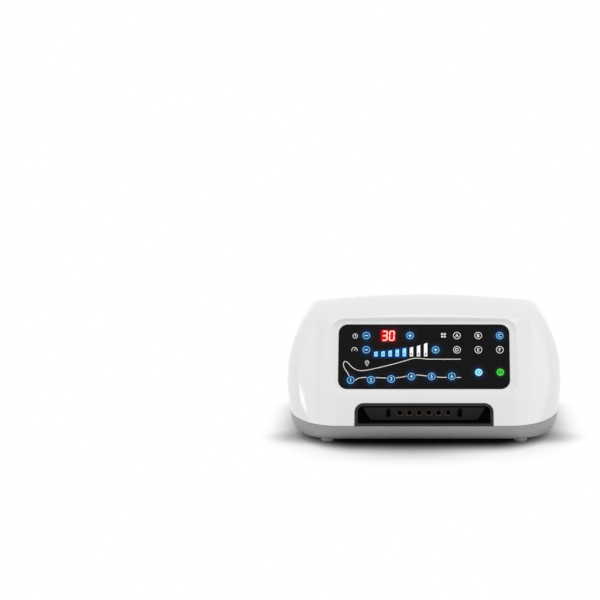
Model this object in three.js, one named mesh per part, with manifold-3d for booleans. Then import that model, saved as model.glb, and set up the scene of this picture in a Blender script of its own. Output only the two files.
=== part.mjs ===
// Compression therapy pump: a table-top console that blows air in turn into six hoses.
// Millimetres. x runs to the viewer's right, y to the rear, z up.
// The origin is on the table, under the middle of the body.
import * as THREE from "three";
import { mergeVertices } from "three/addons/utils/BufferGeometryUtils.js";
import Module from "manifold-3d";

const wasm = await Module();
wasm.setup();

// Fits
const gap = 0.3; // between pieces that touch
const overrun = 3; // how far a cutter runs past what it cuts
const rootDepth = 1; // how far a boss or rib sinks into the wall that carries it
const roundSides = 14;

// Body
const bodyWidth = 280;
const bodyDepth = 205;
const bodyHeight = 132.2;
const seamHeight = 21; // parting line between the upper housing and the base pan
const housingWall = 3;
const faceTilt = 28; // degrees that the front face leans back
const faceFlatWidth = 168; // the flat part of the face, between its rounded corners
const widestHeight = 50;
const shoulderHeight = 124;
const shoulderInset = 26; // how far the side leans in at shoulderHeight
const shoulderPower = 2.3;
const seamInset = 3.3; // how far the side draws in at the seam
const frontCornerDepth = 76;
const frontCornerTaperShare = 0.352; // corner depth lost for each millimetre of height
const rearCornerWidth = 55;
const rearCornerDepth = 60;
const rearLean = 10; // how far the rear wall leans in over rearLeanHeight
const rearLeanHeight = 100;
const crestFromFront = 104; // the highest line of the top
const crestRadius = 125;
const crestRearRun = 46; // behind this the top falls straight
const crownRadius = 996; // arch of the top from side to side
const shoulderBlend = 6; // tangent length of the rounded edge round the top

// Recess in the front face, and the cover set in it
const recessFromSide = 47;
const recessCorner = 15;
const recessFromSeam = 32;
const recessFromTop = 13.34; // along the face, from the height of the crest
const recessDepth = 3.4;
const recessSlope = 4.5; // width of the sloped wall all round
const trayWall = 3;
const lipWidth = 4;
const lipThickness = 2.5;
const coverMarginAside = 8; // recess edge past the cover, at the sides
const coverMargin = 7.2; // and above and below it
const coverCorner = 9;
const coverThickness = 1.5;

// Keys on the cover
const keyDiameter = 8.6;
const keyStemDiameter = 4;
const keyStemLength = 3.1;
const keyTravel = 0.5;
const keyReserve = 0.2; // left between stem and switch at full travel
const keyPlaceShares = {
  time_minus_key: [-0.338, 0.328],
  time_plus_key: [-0.082, 0.328],
  pressure_minus_key: [-0.338, 0.106],
  pressure_plus_key: [0.068, 0.106],
  mode_a_key: [0.193, 0.328],
  mode_b_key: [0.318, 0.328],
  mode_c_key: [0.444, 0.328],
  mode_d_key: [0.193, 0.106],
  mode_e_key: [0.318, 0.106],
  mode_f_key: [0.444, 0.106],
  position_1_key: [-0.427, -0.364],
  position_2_key: [-0.309, -0.36],
  position_3_key: [-0.191, -0.347],
  position_4_key: [-0.074, -0.308],
  position_5_key: [0.044, -0.307],
  position_6_key: [0.162, -0.305],
  start_pause_key: [0.445, -0.243],
  power_key: [0.319, -0.245],
};

// Control board behind the cover
const boardThickness = 1.6;
const boardMargin = 1; // board past its outermost post
const boardPostDiameter = 6;
const boardPostSpacingShare = 0.604; // of the cover's height
const switchWidth = 6;
const switchHeight = 3.3;
const digitWidth = 17;
const digitHeightShare = 0.213; // of the window's height
const digitPlaceShares = [-0.209, 0.37]; // of the cover's width and the window's height
const barCount = 8;
const barWidth = 3.4;
const barPitchShare = 0.0415; // of the cover's width
const barTallestShare = 0.2423; // of the window's height
const barTopMargin = 0.5;
const barBlockThickness = 3.6;
const barBlockMargin = 1.6;
const barHeightShares = [0.355, 0.39, 0.45, 0.53, 0.62, 0.71, 0.83, 1];
const firstBarPlaceShares = [-0.281, 0.003]; // foot of the first bar, on its centre line

// Port bay: the black insert that the hose connector plugs into
const bayWidth = 136.6;
const bayHeight = 24.1; // along the face, from the seam
const bayCorner = 9;
const bayRim = 3;
const bayRimThickness = 3.4;
const bayWall = 2;
const bayFloorRise = 2.9; // cavity floor above the seam
const bayBackFromFront = 15.4;
const baySideStart = 2.6; // depth where the side walls begin to run in
const baySideSlopeShare = 1.1; // side wall runs in by this share of its depth
const outletCount = 6;
const outletPitch = 9.56;
const outletRise = 10.4; // outlet axis above the seam
const nozzleDiameter = 6.4;
const nozzleBore = 4.4;
const nozzleBoreDepth = 12;
const sealDiameter = 7.6;
const sealBore = 5.2;
const sealThickness = 1.2;
const latchSlotWidth = 4.6;
const latchSlotHeight = 8.6;
const latchSlotSpacing = 70.6;

// Air manifold and valves
const manifoldFromBayEnd = 12;
const manifoldDepth = 16;
const manifoldHeight = 14;
const manifoldFromFront = 24;
const barbDiameter = 5;
const barbLength = 8;
const valveClearance = 3; // between two valves
const valveDepth = 14;
const valveHeight = 16;
const coilDiameter = 14;
const coilLength = 11;

// Pump
const pumpLength = 90;
const pumpDepth = 58;
const pumpHeight = 48;
const pumpAside = -34;
const pumpFromFront = 112;
const headThickness = 20;
const headDepth = 50;
const headHeight = 42;
const chamberDiameter = 40;
const chamberDepth = 8;
const armatureThickness = 14;
const armatureReach = 4.5; // past each end of the pump body
const diaphragmDiameter = 30;
const diaphragmThickness = 2;
const outletBarbForward = 18; // outlet of the pump before the middle of its head
const mountDiameter = 14;
const mountHeight = 8;
const mountInset = 12;
const hoseDiameter = 8;
const hoseBore = 5;
const hoseBend = 1; // how far it swings out past the manifold, in hose diameters
const hoseSteps = 26;
const hoseCurveSteps = 4;

// Base pan
const panWall = 2.5;
const panFrontRun = 21; // how far the rounded front of the pan runs in
const panSideRun = 14; // the same for its sides and rear
const panFullness = 0.3; // makes the rounding fuller than an ellipse
const panCornerFullness = 0.8; // the same for the corners of its floor, seen from above
const panFloor = 4.5; // underside of the pan above the table
const ventCount = 8;
const ventPitch = 8;
const ventWidth = 3;
const ventLength = 30;
const ventFromFront = 48;

// Feet and screws
const footDiameter = 14;
const footChamfer = 1.5;
const footStemDiameter = 5;
const footStemLength = 4.3;
const footFromSide = 43.8;
const footFromEnd = 27;
const screwFromSide = 35;
const screwFromFront = 55;
const screwFromRear = 45;
const screwDiameter = 3;
const screwHeadDiameter = 6.4;
const screwHeadHeight = 2;
const screwLength = 22;
const screwHeadRise = 5.5; // seat of the head above the underside of the pan
const screwSocketWidth = 2.2;
const screwSocketDepth = 1.2;
const panBossDiameter = 11;
const housingPostDiameter = 9;

// Main board and transformer
const mainBoardFromSide = 22;
const mainBoardFromPump = 6.7;
const mainBoardClearance = 2.7; // to the valves before it and the transformer behind it
const mainBoardRise = 6.7; // above the floor of the pan
const mainBoardPostDiameter = 6;
const relayWidth = 20;
const relayDepth = 12;
const relayHeight = 14;
const capacitorDiameter = 12;
const capacitorHeight = 16;
const transformerWidth = 44;
const transformerDepth = 32;
const transformerHeight = 38;
const windingWidth = 26;
const windingDepth = 42;
const windingHeight = 24;
const transformerFromSide = 70;
const transformerClearance = 4.3; // to the mains entry behind it

// Mains entry in the rear wall
const pocketWidth = 62;
const pocketHeight = 37;
const pocketDepth = 5;
const pocketAside = 50;
const pocketCentreHeight = 48;
const flangeWidth = 56;
const flangeHeight = 31;
const flangeThickness = 2;
const entryBodyWidth = 49.4;
const entryBodyHeight = 27;
const entryBodyDepth = 22;
const socketWidth = 24;
const socketHeight = 16.6;
const socketDepth = 17;
const socketAside = 9;
const socketRise = 3.4;
const socketChamfer = 4;
const pinWidth = 4;
const pinThickness = 2;
const pinLength = 12;
const pinSpacing = 14;
const earthPinRise = 4;
const rockerWidth = 12.4;
const rockerHeight = 18;
const rockerAside = -15;
const rockerCrown = 3.4; // middle of the rocker in front of its pivot
const rockerTip = 2.2; // ends of the rocker in front of its pivot
const rockerBack = 3;
const rockerBackHeight = 15;
const rockerTilt = 9; // degrees to either side
const rockerSweep = 0.6; // room in the opening for the turning ends
const rockerPivotDepth = 1.6; // pivot behind the flange face
const drawerWidth = 20;
const drawerHeight = 5;
const drawerLength = 16;
const drawerDrop = 9.4; // drawer centre below the centre of the mains entry
const drawerGrip = 0.8;
const rearVentCount = 9;
const rearVentAside = -50;
const rearVentHeight = 26;
const rearVentCentreHeight = 49;

// Sizes that follow from the ones above
const tilt = THREE.MathUtils.degToRad(faceTilt);
const frontY = -bodyDepth / 2;
const rearY = bodyDepth / 2;
const fitSeam = gap / 2;
const panInnerFloor = panFloor + panWall;
const faceLength = (bodyHeight - seamHeight) / Math.cos(tilt);
const recessWidth = bodyWidth - 2 * recessFromSide;
const recessHeight = faceLength - recessFromSeam - recessFromTop;
const coverWidth = recessWidth - 2 * coverMarginAside;
const coverHeight = recessHeight - 2 * coverMargin;
const coverCentre = recessFromSeam + recessHeight / 2;
const coverBackDepth = recessDepth + coverThickness;
const trayDepth = coverBackDepth + gap + lipThickness;
const keyStemEnd = coverBackDepth + keyStemLength;
const boardFrontDepth = keyStemEnd + keyTravel + keyReserve + switchHeight;
const windowHeight = coverHeight - 2 * lipWidth;
const barTallest = barTallestShare * windowHeight;
const barPitch = barPitchShare * coverWidth;
const boardPostAside = coverWidth / 2;
const boardWidth = 2 * boardPostAside + boardPostDiameter + 2 * boardMargin;
const bayFloor = seamHeight + bayFloorRise;
const bayBackY = frontY + bayBackFromFront;
const outletHeight = seamHeight + outletRise;
const manifoldWidth = bayWidth - 2 * manifoldFromBayEnd;
const valvePitch = manifoldWidth / outletCount;
const valveWidth = valvePitch - valveClearance;
const manifoldFrontY = frontY + manifoldFromFront;
const manifoldBackY = manifoldFrontY + manifoldDepth;
const manifoldMiddleY = (manifoldFrontY + manifoldBackY) / 2;
const valvesRearY = manifoldBackY + gap + valveDepth + coilLength;
const entryFaceY = rearY - pocketDepth + gap + flangeThickness;
const entryInnerY = entryFaceY - flangeThickness - entryBodyDepth;
const transformerY = entryInnerY - transformerClearance - windingDepth / 2;
const mainBoardFrontY = valvesRearY + mainBoardClearance;
const mainBoardRearY = transformerY - windingDepth / 2 - mainBoardClearance;
const mainBoardDepth = mainBoardRearY - mainBoardFrontY;
const mainBoardY = (mainBoardFrontY + mainBoardRearY) / 2;
const pumpEnd = pumpLength / 2 + gap + headThickness;
const mainBoardLeft = pumpAside + pumpEnd + mainBoardFromPump;
const mainBoardWidth = bodyWidth / 2 - mainBoardFromSide - mainBoardLeft;
const mainBoardAside = mainBoardLeft + mainBoardWidth / 2;
const footX = bodyWidth / 2 - footFromSide;
const screwX = bodyWidth / 2 - screwFromSide;

// Geometry helpers
function box(low, high) {
  const size = high.map((value, i) => value - low[i]);
  const middle = high.map((value, i) => (value + low[i]) / 2);
  return new THREE.BoxGeometry(...size).translate(...middle);
}

function block(width, depth, height, at = [0, 0, 0]) {
  return new THREE.BoxGeometry(width, depth, height).translate(...at);
}

// A round bar of the given diameter from low to high along one axis, through the point at.
function rod(diameter, low, high, axis = "z", at = [0, 0, 0], sides = roundSides) {
  const bar = new THREE.CylinderGeometry(diameter / 2, diameter / 2, high - low, sides);
  bar.translate(0, (low + high) / 2, 0);
  if (axis === "z") {
    bar.rotateX(Math.PI / 2);
  }
  if (axis === "x") {
    bar.rotateZ(-Math.PI / 2);
  }
  return bar.translate(...at);
}

// A turned piece about z. The profile holds [radius, height] pairs and starts and ends on the axis.
function turned(profile, sides = roundSides) {
  const points = profile.map(([radius, height]) => new THREE.Vector2(radius, height));
  return new THREE.LatheGeometry(points, sides).rotateX(Math.PI / 2);
}

// A closed body through rings of points, each ring anticlockwise seen from the last ring's side.
function loft(rings) {
  const count = rings[0].length;
  const positions = [];
  const corner = (point) => positions.push(point.x, point.y, point.z);
  const centreOf = (ring) => {
    const sum = ring.reduce((total, point) => total.add(point), new THREE.Vector3());
    return sum.divideScalar(ring.length);
  };
  const face = (a, b, c) => [a, b, c].forEach(corner);
  for (let level = 0; level + 1 < rings.length; level += 1) {
    for (let i = 0; i < count; i += 1) {
      const next = (i + 1) % count;
      face(rings[level][i], rings[level][next], rings[level + 1][next]);
      face(rings[level][i], rings[level + 1][next], rings[level + 1][i]);
    }
  }
  const first = rings[0];
  const last = rings[rings.length - 1];
  const firstCentre = centreOf(first);
  const lastCentre = centreOf(last);
  for (let i = 0; i < count; i += 1) {
    const next = (i + 1) % count;
    face(firstCentre, first[next], first[i]);
    face(lastCentre, last[i], last[next]);
  }
  const geometry = new THREE.BufferGeometry();
  geometry.setAttribute("position", new THREE.Float32BufferAttribute(positions, 3));
  return geometry;
}

// A rectangle with rounded corners, from bottom to top, centred on x = 0.
function roundedShape(width, bottom, top, topRadius, bottomRadius = topRadius) {
  const half = width / 2;
  const shape = new THREE.Shape();
  shape.moveTo(-half + bottomRadius, bottom);
  shape.lineTo(half - bottomRadius, bottom);
  if (bottomRadius > 0) {
    shape.absarc(half - bottomRadius, bottom + bottomRadius, bottomRadius, -Math.PI / 2, 0);
  }
  shape.lineTo(half, top - topRadius);
  shape.absarc(half - topRadius, top - topRadius, topRadius, 0, Math.PI / 2);
  shape.lineTo(-half + topRadius, top);
  shape.absarc(-half + topRadius, top - topRadius, topRadius, Math.PI / 2, Math.PI);
  shape.lineTo(-half, bottom + bottomRadius);
  if (bottomRadius > 0) {
    shape.absarc(-half + bottomRadius, bottom + bottomRadius, bottomRadius, Math.PI, 1.5 * Math.PI);
  }
  return shape;
}

const cornerSteps = 3;

// A plate of the given shape between two heights.
function plate(shape, low, high) {
  const settings = { depth: high - low, bevelEnabled: false, curveSegments: cornerSteps };
  return new THREE.ExtrudeGeometry(shape, settings).translate(0, 0, low);
}

function shapeRing(shape, height) {
  const points = shape.getPoints(cornerSteps);
  if (points[0].distanceTo(points[points.length - 1]) === 0) {
    points.pop();
  }
  return points.map((point) => new THREE.Vector3(point.x, point.y, height));
}

function solid(geometry) {
  const bare = geometry.clone();
  bare.deleteAttribute("normal");
  bare.deleteAttribute("uv");
  const merged = mergeVertices(bare);
  const vertProperties = merged.attributes.position.array;
  const triVerts = new Uint32Array(merged.index.array);
  return new wasm.Manifold(new wasm.Mesh({ numProp: 3, vertProperties, triVerts }));
}

function geometryOf(body) {
  const made = body.getMesh();
  const geometry = new THREE.BufferGeometry();
  geometry.setAttribute("position", new THREE.BufferAttribute(made.vertProperties, 3));
  geometry.setIndex(new THREE.BufferAttribute(made.triVerts, 1));
  geometry.computeVertexNormals();
  return geometry;
}

function joined(geometries) {
  return geometries.map(solid).reduce((total, next) => total.add(next));
}

function cut(body, geometries) {
  return geometries.map(solid).reduce((total, next) => total.subtract(next), body);
}

// Materials
function finish(color, roughness, metalness = 0) {
  return new THREE.MeshStandardMaterial({ color, roughness, metalness });
}

const whiteShell = finish(0xefefef, 0.32);
const greyPan = finish(0x9a9b9c, 0.45);
const greyRubber = finish(0xb9bab8, 0.8);
const blackGloss = finish(0x101112, 0.1);
const blackPlastic = finish(0x1d1e20, 0.45);
const keyFinish = finish(0x16181b, 0.2);
const powerKeyFinish = finish(0x2f9de8, 0.25);
const startKeyFinish = finish(0x17b22a, 0.25);
const brownSilicone = finish(0x4a2320, 0.6);
const greenBoard = finish(0x17513a, 0.5);
const redLens = finish(0x7a0c0c, 0.3);
const clearGuide = finish(0xd9e6ee, 0.2);
const manifoldPlastic = finish(0x1d1d1e, 0.5);
const steel = finish(0xb4b7ba, 0.35, 0.9);
const castMetal = finish(0x8d9093, 0.5, 0.8);
const blackRubber = finish(0x222222, 0.85);
const hoseSilicone = finish(0xcfd8d6, 0.5);
const ironCore = finish(0x5a5d60, 0.5, 0.8);
const moulding = finish(0x141414, 0.5);

// Groups: the body frame, and a frame lying on the tilted face with z pointing out of it
const root = new THREE.Group();
const facePanel = new THREE.Group();
facePanel.position.set(0, frontY, seamHeight);
facePanel.rotation.x = Math.PI / 2 - tilt;
root.add(facePanel);
facePanel.updateMatrixWorld(true);

function addPiece(parent, name, geometry, material, at = [0, 0, 0]) {
  const mesh = new THREE.Mesh(geometry, material);
  mesh.name = name;
  mesh.position.set(...at);
  parent.add(mesh);
  return mesh;
}

function onFace(geometry) {
  return geometry.applyMatrix4(facePanel.matrixWorld);
}

// Body surface. q runs round the right half of the outline: 0 to 1 the flat face, 1 to 2 the front
// corner, 2 to 3 the side, 3 to 4 the rear corner, 4 to 5 the rear wall.
function sideInset(z) {
  if (z > widestHeight) {
    const share = (z - widestHeight) / (shoulderHeight - widestHeight);
    return shoulderInset * share ** shoulderPower;
  }
  const share = (widestHeight - z) / (widestHeight - seamHeight);
  return seamInset * share ** 2;
}

function outlinePoint(z, q, inset, frontInset = inset / Math.cos(tilt), fullness = 0) {
  const rise = z - seamHeight;
  const half = bodyWidth / 2 - sideInset(z);
  const side = half - inset;
  const front = frontY + rise * Math.tan(tilt) + frontInset;
  const widest = frontY + frontCornerDepth + rise * (Math.tan(tilt) - frontCornerTaperShare);
  const rear = rearY - rearLean * (rise / rearLeanHeight) ** 2 - inset;
  const flat = faceFlatWidth / 2;
  const rearCentreX = half - rearCornerWidth;
  const rearCentreY = rear + inset - rearCornerDepth;
  const turn = (q % 1) * (Math.PI / 2);
  const power = 2 / (2 + fullness);
  const sine = Math.sin(turn) ** power;
  const cosine = Math.cos(turn) ** power;
  if (q < 1) {
    return new THREE.Vector2(flat * q, front);
  }
  if (q < 2) {
    return new THREE.Vector2(
      flat + (side - flat) * sine,
      widest + (front - widest) * cosine,
    );
  }
  if (q < 3) {
    return new THREE.Vector2(side, THREE.MathUtils.lerp(widest, rearCentreY, q % 1));
  }
  if (q < 4) {
    return new THREE.Vector2(
      rearCentreX + (side - rearCentreX) * cosine,
      rearCentreY + (rear - rearCentreY) * sine,
    );
  }
  return new THREE.Vector2(rearCentreX * (5 - q), rear);
}

function topHeight(x, y) {
  const behind = y - frontY - crestFromFront;
  const curved = Math.min(behind, crestRearRun);
  const straight = (behind - curved) * (curved / crestRadius);
  return bodyHeight - curved ** 2 / (2 * crestRadius) - straight - x ** 2 / (2 * crownRadius);
}

// Steps round half the outline: face, front corner, side, rear corner, rear wall
const stationSteps = [3, 7, 2, 5, 2];
const stations = [];
stationSteps.forEach((steps, part) => {
  for (let i = 0; i < steps; i += 1) {
    stations.push(part + i / steps);
  }
});
stations.push(stationSteps.length);

// The whole loop from the points of its right half, anticlockwise from above.
function mirroredLoop(half) {
  const inner = half.slice(1, -1).reverse();
  const left = inner.map((point) => new THREE.Vector3(-point.x, point.y, point.z));
  return [...half, ...left];
}

const lowerWallSteps = 3;
const upperWallSteps = 4;
const blendSteps = 4;
const topSteps = 5;
const halvings = 40; // of the search for the height where wall and top meet

// Points of the housing surface from the seam to the centre of the top, at one station.
function surfaceProfile(q, inset, bottom) {
  let low = seamHeight;
  let high = bodyHeight;
  const roof = (x, y) => topHeight(x, y) - inset;
  for (let i = 0; i < halvings; i += 1) {
    const middle = (low + high) / 2;
    const point = outlinePoint(middle, q, inset);
    if (middle < roof(point.x, point.y)) {
      low = middle;
    } else {
      high = middle;
    }
  }
  const wallPoint = (z) => {
    const point = outlinePoint(z, q, inset);
    return new THREE.Vector3(point.x, point.y, z);
  };
  const shoulder = wallPoint(low);
  const centre = new THREE.Vector2(0, frontY + crestFromFront);
  const reach = Math.hypot(shoulder.x - centre.x, shoulder.y - centre.y);
  const roofPoint = (share) => {
    const x = shoulder.x + (centre.x - shoulder.x) * share;
    const y = shoulder.y + (centre.y - shoulder.y) * share;
    return new THREE.Vector3(x, y, roof(x, y));
  };
  const blendStart = wallPoint(low - shoulderBlend);
  const blendEnd = roofPoint(shoulderBlend / reach);
  const bend = new THREE.QuadraticBezierCurve3(blendStart, shoulder, blendEnd);
  const wallBottom = wallPoint(seamHeight + fitSeam);
  const points = [new THREE.Vector3(wallBottom.x, wallBottom.y, bottom)];
  if (bottom < wallBottom.z) {
    points.push(wallBottom);
  }
  for (let i = 1; i < lowerWallSteps; i += 1) {
    points.push(wallPoint(THREE.MathUtils.lerp(wallBottom.z, widestHeight, i / lowerWallSteps)));
  }
  for (let i = 0; i < upperWallSteps; i += 1) {
    points.push(wallPoint(THREE.MathUtils.lerp(widestHeight, blendStart.z, i / upperWallSteps)));
  }
  points.push(...bend.getPoints(blendSteps));
  for (let i = 1; i < topSteps; i += 1) {
    points.push(roofPoint(THREE.MathUtils.lerp(shoulderBlend / reach, 1, i / topSteps)));
  }
  return points;
}

function dome(inset, bottom) {
  const profiles = stations.map((q) => surfaceProfile(q, inset, bottom));
  const rings = profiles[0].map((_, level) => mirroredLoop(profiles.map((points) => points[level])));
  return loft(rings);
}

// Upper housing
const screwPlaces = [
  ["front_left", -screwX, frontY + screwFromFront],
  ["front_right", screwX, frontY + screwFromFront],
  ["rear_left", -screwX, rearY - screwFromRear],
  ["rear_right", screwX, rearY - screwFromRear],
];
const screwSeat = panFloor + screwHeadRise;
const screwTip = screwSeat + screwLength;
const screwBore = screwDiameter + 2 * gap;

function recessShape(margin) {
  const bottom = recessFromSeam - margin;
  const top = recessFromSeam + recessHeight + margin;
  return roundedShape(recessWidth + 2 * margin, bottom, top, recessCorner + margin);
}

function coverShape(margin) {
  const width = coverWidth + 2 * margin;
  const reach = coverHeight / 2 + margin;
  const radius = Math.max(coverCorner + margin, lipThickness);
  return roundedShape(width, coverCentre - reach, coverCentre + reach, radius);
}

function bayShape(margin) {
  const top = bayHeight + margin;
  return roundedShape(bayWidth + 2 * margin, -overrun, top, bayCorner + margin, 0);
}

const boardPosts = [];
const boardPostSpacing = boardPostSpacingShare * coverHeight;
for (const side of [-1, 1]) {
  for (const level of [-1, 1]) {
    boardPosts.push([side * boardPostAside, coverCentre + (level * boardPostSpacing) / 2, 0]);
  }
}

function rearVentCutters() {
  const cutters = [];
  for (let i = 0; i < rearVentCount; i += 1) {
    const x = rearVentAside + (i - (rearVentCount - 1) / 2) * ventPitch;
    const at = [x, rearY - pocketDepth / 2, rearVentCentreHeight];
    cutters.push(block(ventWidth, pocketDepth + 2 * overrun, rearVentHeight, at));
  }
  return cutters;
}

function entryBlock(width, height, low, high) {
  const x = pocketAside;
  const z = pocketCentreHeight;
  return box([x - width / 2, low, z - height / 2], [x + width / 2, high, z + height / 2]);
}

function upperHousing() {
  const outer = solid(dome(0, seamHeight + fitSeam));
  const hollow = solid(dome(housingWall, seamHeight - overrun));
  let body = outer.subtract(hollow);
  const tray = solid(onFace(plate(recessShape(trayWall), -trayDepth, overrun)));
  body = body.add(tray.intersect(outer));
  const pad = solid(
    entryBlock(
      pocketWidth + 2 * housingWall,
      pocketHeight + 2 * housingWall,
      rearY - pocketDepth - housingWall,
      rearY,
    ),
  );
  body = body.add(pad.intersect(outer));
  const boardPostGeometries = boardPosts.map((at) =>
    onFace(rod(boardPostDiameter, gap - boardFrontDepth, rootDepth - trayDepth, "z", at)),
  );
  const screwPosts = screwPlaces.map(([, x, y]) =>
    rod(housingPostDiameter, seamHeight + fitSeam, bodyHeight, "z", [x, y, 0]),
  );
  body = body.add(joined([...boardPostGeometries, ...screwPosts]).intersect(outer));
  const slope = recessSlope / recessDepth;
  const recess = loft([
    shapeRing(recessShape(-recessSlope), -recessDepth),
    shapeRing(recessShape(slope * overrun), overrun),
  ]);
  const innerY = rearY - pocketDepth - housingWall - overrun;
  return cut(body, [
    onFace(recess),
    onFace(plate(coverShape(gap), -coverBackDepth - gap, -recessDepth + overrun)),
    onFace(plate(coverShape(-lipWidth), -trayDepth - overrun, 0)),
    onFace(plate(bayShape(0), -2 * bayRimThickness, overrun)),
    entryBlock(pocketWidth, pocketHeight, rearY - pocketDepth, rearY + overrun),
    entryBlock(entryBodyWidth + 2 * gap, entryBodyHeight + 2 * gap, innerY, rearY),
    ...rearVentCutters(),
    ...screwPlaces.map(([, x, y]) =>
      rod(screwBore, seamHeight - overrun, screwTip + gap, "z", [x, y, 0]),
    ),
  ]);
}

addPiece(root, "upper_housing", geometryOf(upperHousing()), whiteShell);

// Cover, keys and the board behind them
const keyPlaces = Object.entries(keyPlaceShares).map(([name, [across, up]]) => ({
  name,
  x: across * coverWidth,
  y: coverCentre + up * coverHeight,
}));

function panelCover() {
  const sheet = solid(plate(coverShape(0), -coverBackDepth, -recessDepth));
  const holes = keyPlaces.map(({ x, y }) =>
    rod(keyDiameter + 2 * gap, -coverBackDepth - overrun, overrun, "z", [x, y, 0]),
  );
  return cut(sheet, holes);
}

addPiece(facePanel, "panel_cover", geometryOf(panelCover()), blackGloss);

function keyFinishOf(name) {
  if (name === "power_key") {
    return powerKeyFinish;
  }
  return name === "start_pause_key" ? startKeyFinish : keyFinish;
}

const keyGeometry = turned([
  [0, -coverThickness - keyStemLength],
  [keyStemDiameter / 2, -coverThickness - keyStemLength],
  [keyStemDiameter / 2, -coverThickness],
  [keyDiameter / 2, -coverThickness],
  [keyDiameter / 2, 0],
  [0, 0],
]);
for (const { name, x, y } of keyPlaces) {
  addPiece(facePanel, name, keyGeometry, keyFinishOf(name), [x, y, -recessDepth]);
}

function controlBoard() {
  const half = boardWidth / 2;
  const back = -boardFrontDepth - boardThickness;
  const reach = windowHeight / 2;
  const sheet = box([-half, coverCentre - reach, back], [half, coverCentre + reach, -boardFrontDepth]);
  const switches = keyPlaces.map(({ x, y }) => {
    const depth = switchHeight + rootDepth;
    const low = -boardFrontDepth - rootDepth;
    return block(switchWidth, switchWidth, depth, [x, y, low + depth / 2]);
  });
  return joined([sheet, ...switches]);
}

addPiece(facePanel, "control_board", geometryOf(controlBoard()), greenBoard);

const lightFront = -coverBackDepth - gap;
const lightBack = -boardFrontDepth + gap;

function digitDisplay() {
  const x = digitPlaceShares[0] * coverWidth;
  const y = coverCentre + digitPlaceShares[1] * windowHeight;
  const digitHeight = digitHeightShare * windowHeight;
  const low = [x - digitWidth / 2, y - digitHeight / 2, lightBack];
  return box(low, [x + digitWidth / 2, y + digitHeight / 2, lightFront]);
}

addPiece(facePanel, "digit_display", digitDisplay(), redLens);

function barLightGuide() {
  const left = firstBarPlaceShares[0] * coverWidth;
  const foot = coverCentre + firstBarPlaceShares[1] * coverHeight;
  const margin = barWidth / 2 + barBlockMargin;
  const right = left + (barCount - 1) * barPitch;
  const blockFront = lightBack + barBlockThickness;
  const low = [left - margin, foot - barBlockMargin / 2, lightBack];
  const pieces = [box(low, [right + margin, foot + barTallest + barTopMargin, blockFront])];
  for (let i = 0; i < barCount; i += 1) {
    const x = left + i * barPitch;
    const height = barTallest * barHeightShares[i];
    const near = [x - barWidth / 2, foot, blockFront - rootDepth];
    pieces.push(box(near, [x + barWidth / 2, foot + height, lightFront]));
  }
  return joined(pieces);
}

addPiece(facePanel, "bar_light_guide", geometryOf(barLightGuide()), clearGuide);

// Port bay
const outletXs = Array.from({ length: outletCount }, (_, i) => (i - (outletCount - 1) / 2) * outletPitch);
const faceY = (z) => frontY + (z - seamHeight) * Math.tan(tilt);

// A wedge-ended box: its front follows the face, its sides run in towards the back wall.
function bayVolume(margin, frontReach) {
  const low = bayFloor - margin;
  const high = seamHeight + bayHeight;
  const backY = bayBackY + margin;
  const halfMouth = bayWidth / 2 - bayRim + baySideSlopeShare * baySideStart + margin;
  const ring = (z) => {
    const frontAt = faceY(z) - frontReach;
    const wide = halfMouth + baySideSlopeShare * frontReach;
    const narrow = halfMouth - baySideSlopeShare * (backY - faceY(z));
    return [
      new THREE.Vector3(-wide, frontAt, z),
      new THREE.Vector3(wide, frontAt, z),
      new THREE.Vector3(narrow, backY, z),
      new THREE.Vector3(-narrow, backY, z),
    ];
  };
  return loft([ring(low), ring(high)]);
}

function bayMouthShape(margin) {
  const width = bayWidth - 2 * bayRim + 2 * margin;
  const radius = bayCorner - bayRim + margin;
  return roundedShape(width, -bayHeight, bayHeight - bayRim + margin, radius, 0);
}

function portBay() {
  const reach = bayBackFromFront + 2 * bayWall;
  const rim = solid(onFace(plate(bayShape(-gap), -bayRimThickness, 0)));
  const tub = solid(bayVolume(bayWall, -gap));
  const tubLimit = solid(onFace(plate(bayMouthShape(bayWall), -reach, 0)));
  const cavity = solid(bayVolume(0, overrun));
  const cavityLimit = solid(onFace(plate(bayMouthShape(0), -reach, overrun)));
  const wide = bayWidth / 2 + overrun;
  const under = [
    [-wide, frontY - overrun, seamHeight - bayHeight],
    [wide, bayBackY + reach, seamHeight + fitSeam],
  ];
  const notchX = latchSlotSpacing / 2;
  const slots = [-1, 1].map((side) =>
    block(latchSlotWidth, 2 * bayWall + 2 * overrun, latchSlotHeight, [
      side * notchX,
      bayBackY + bayWall,
      outletHeight,
    ]),
  );
  const bores = outletXs.map((x) => {
    const at = [x, 0, outletHeight];
    return rod(nozzleDiameter + 2 * gap, bayBackY - overrun, bayBackY + bayWall + overrun, "y", at);
  });
  const shell = rim.add(tub.intersect(tubLimit)).subtract(cavity.intersect(cavityLimit));
  return cut(shell, [box(...under), ...slots, ...bores]);
}

addPiece(root, "port_bay", geometryOf(portBay()), blackPlastic);

const sealGeometry = geometryOf(
  solid(rod(sealDiameter, -sealThickness, 0, "y")).subtract(
    solid(rod(sealBore, -sealThickness - overrun, overrun, "y")),
  ),
);
outletXs.forEach((x, i) => {
  addPiece(root, `outlet_seal_${i + 1}`, sealGeometry, brownSilicone, [x, bayBackY - gap, outletHeight]);
});

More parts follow.
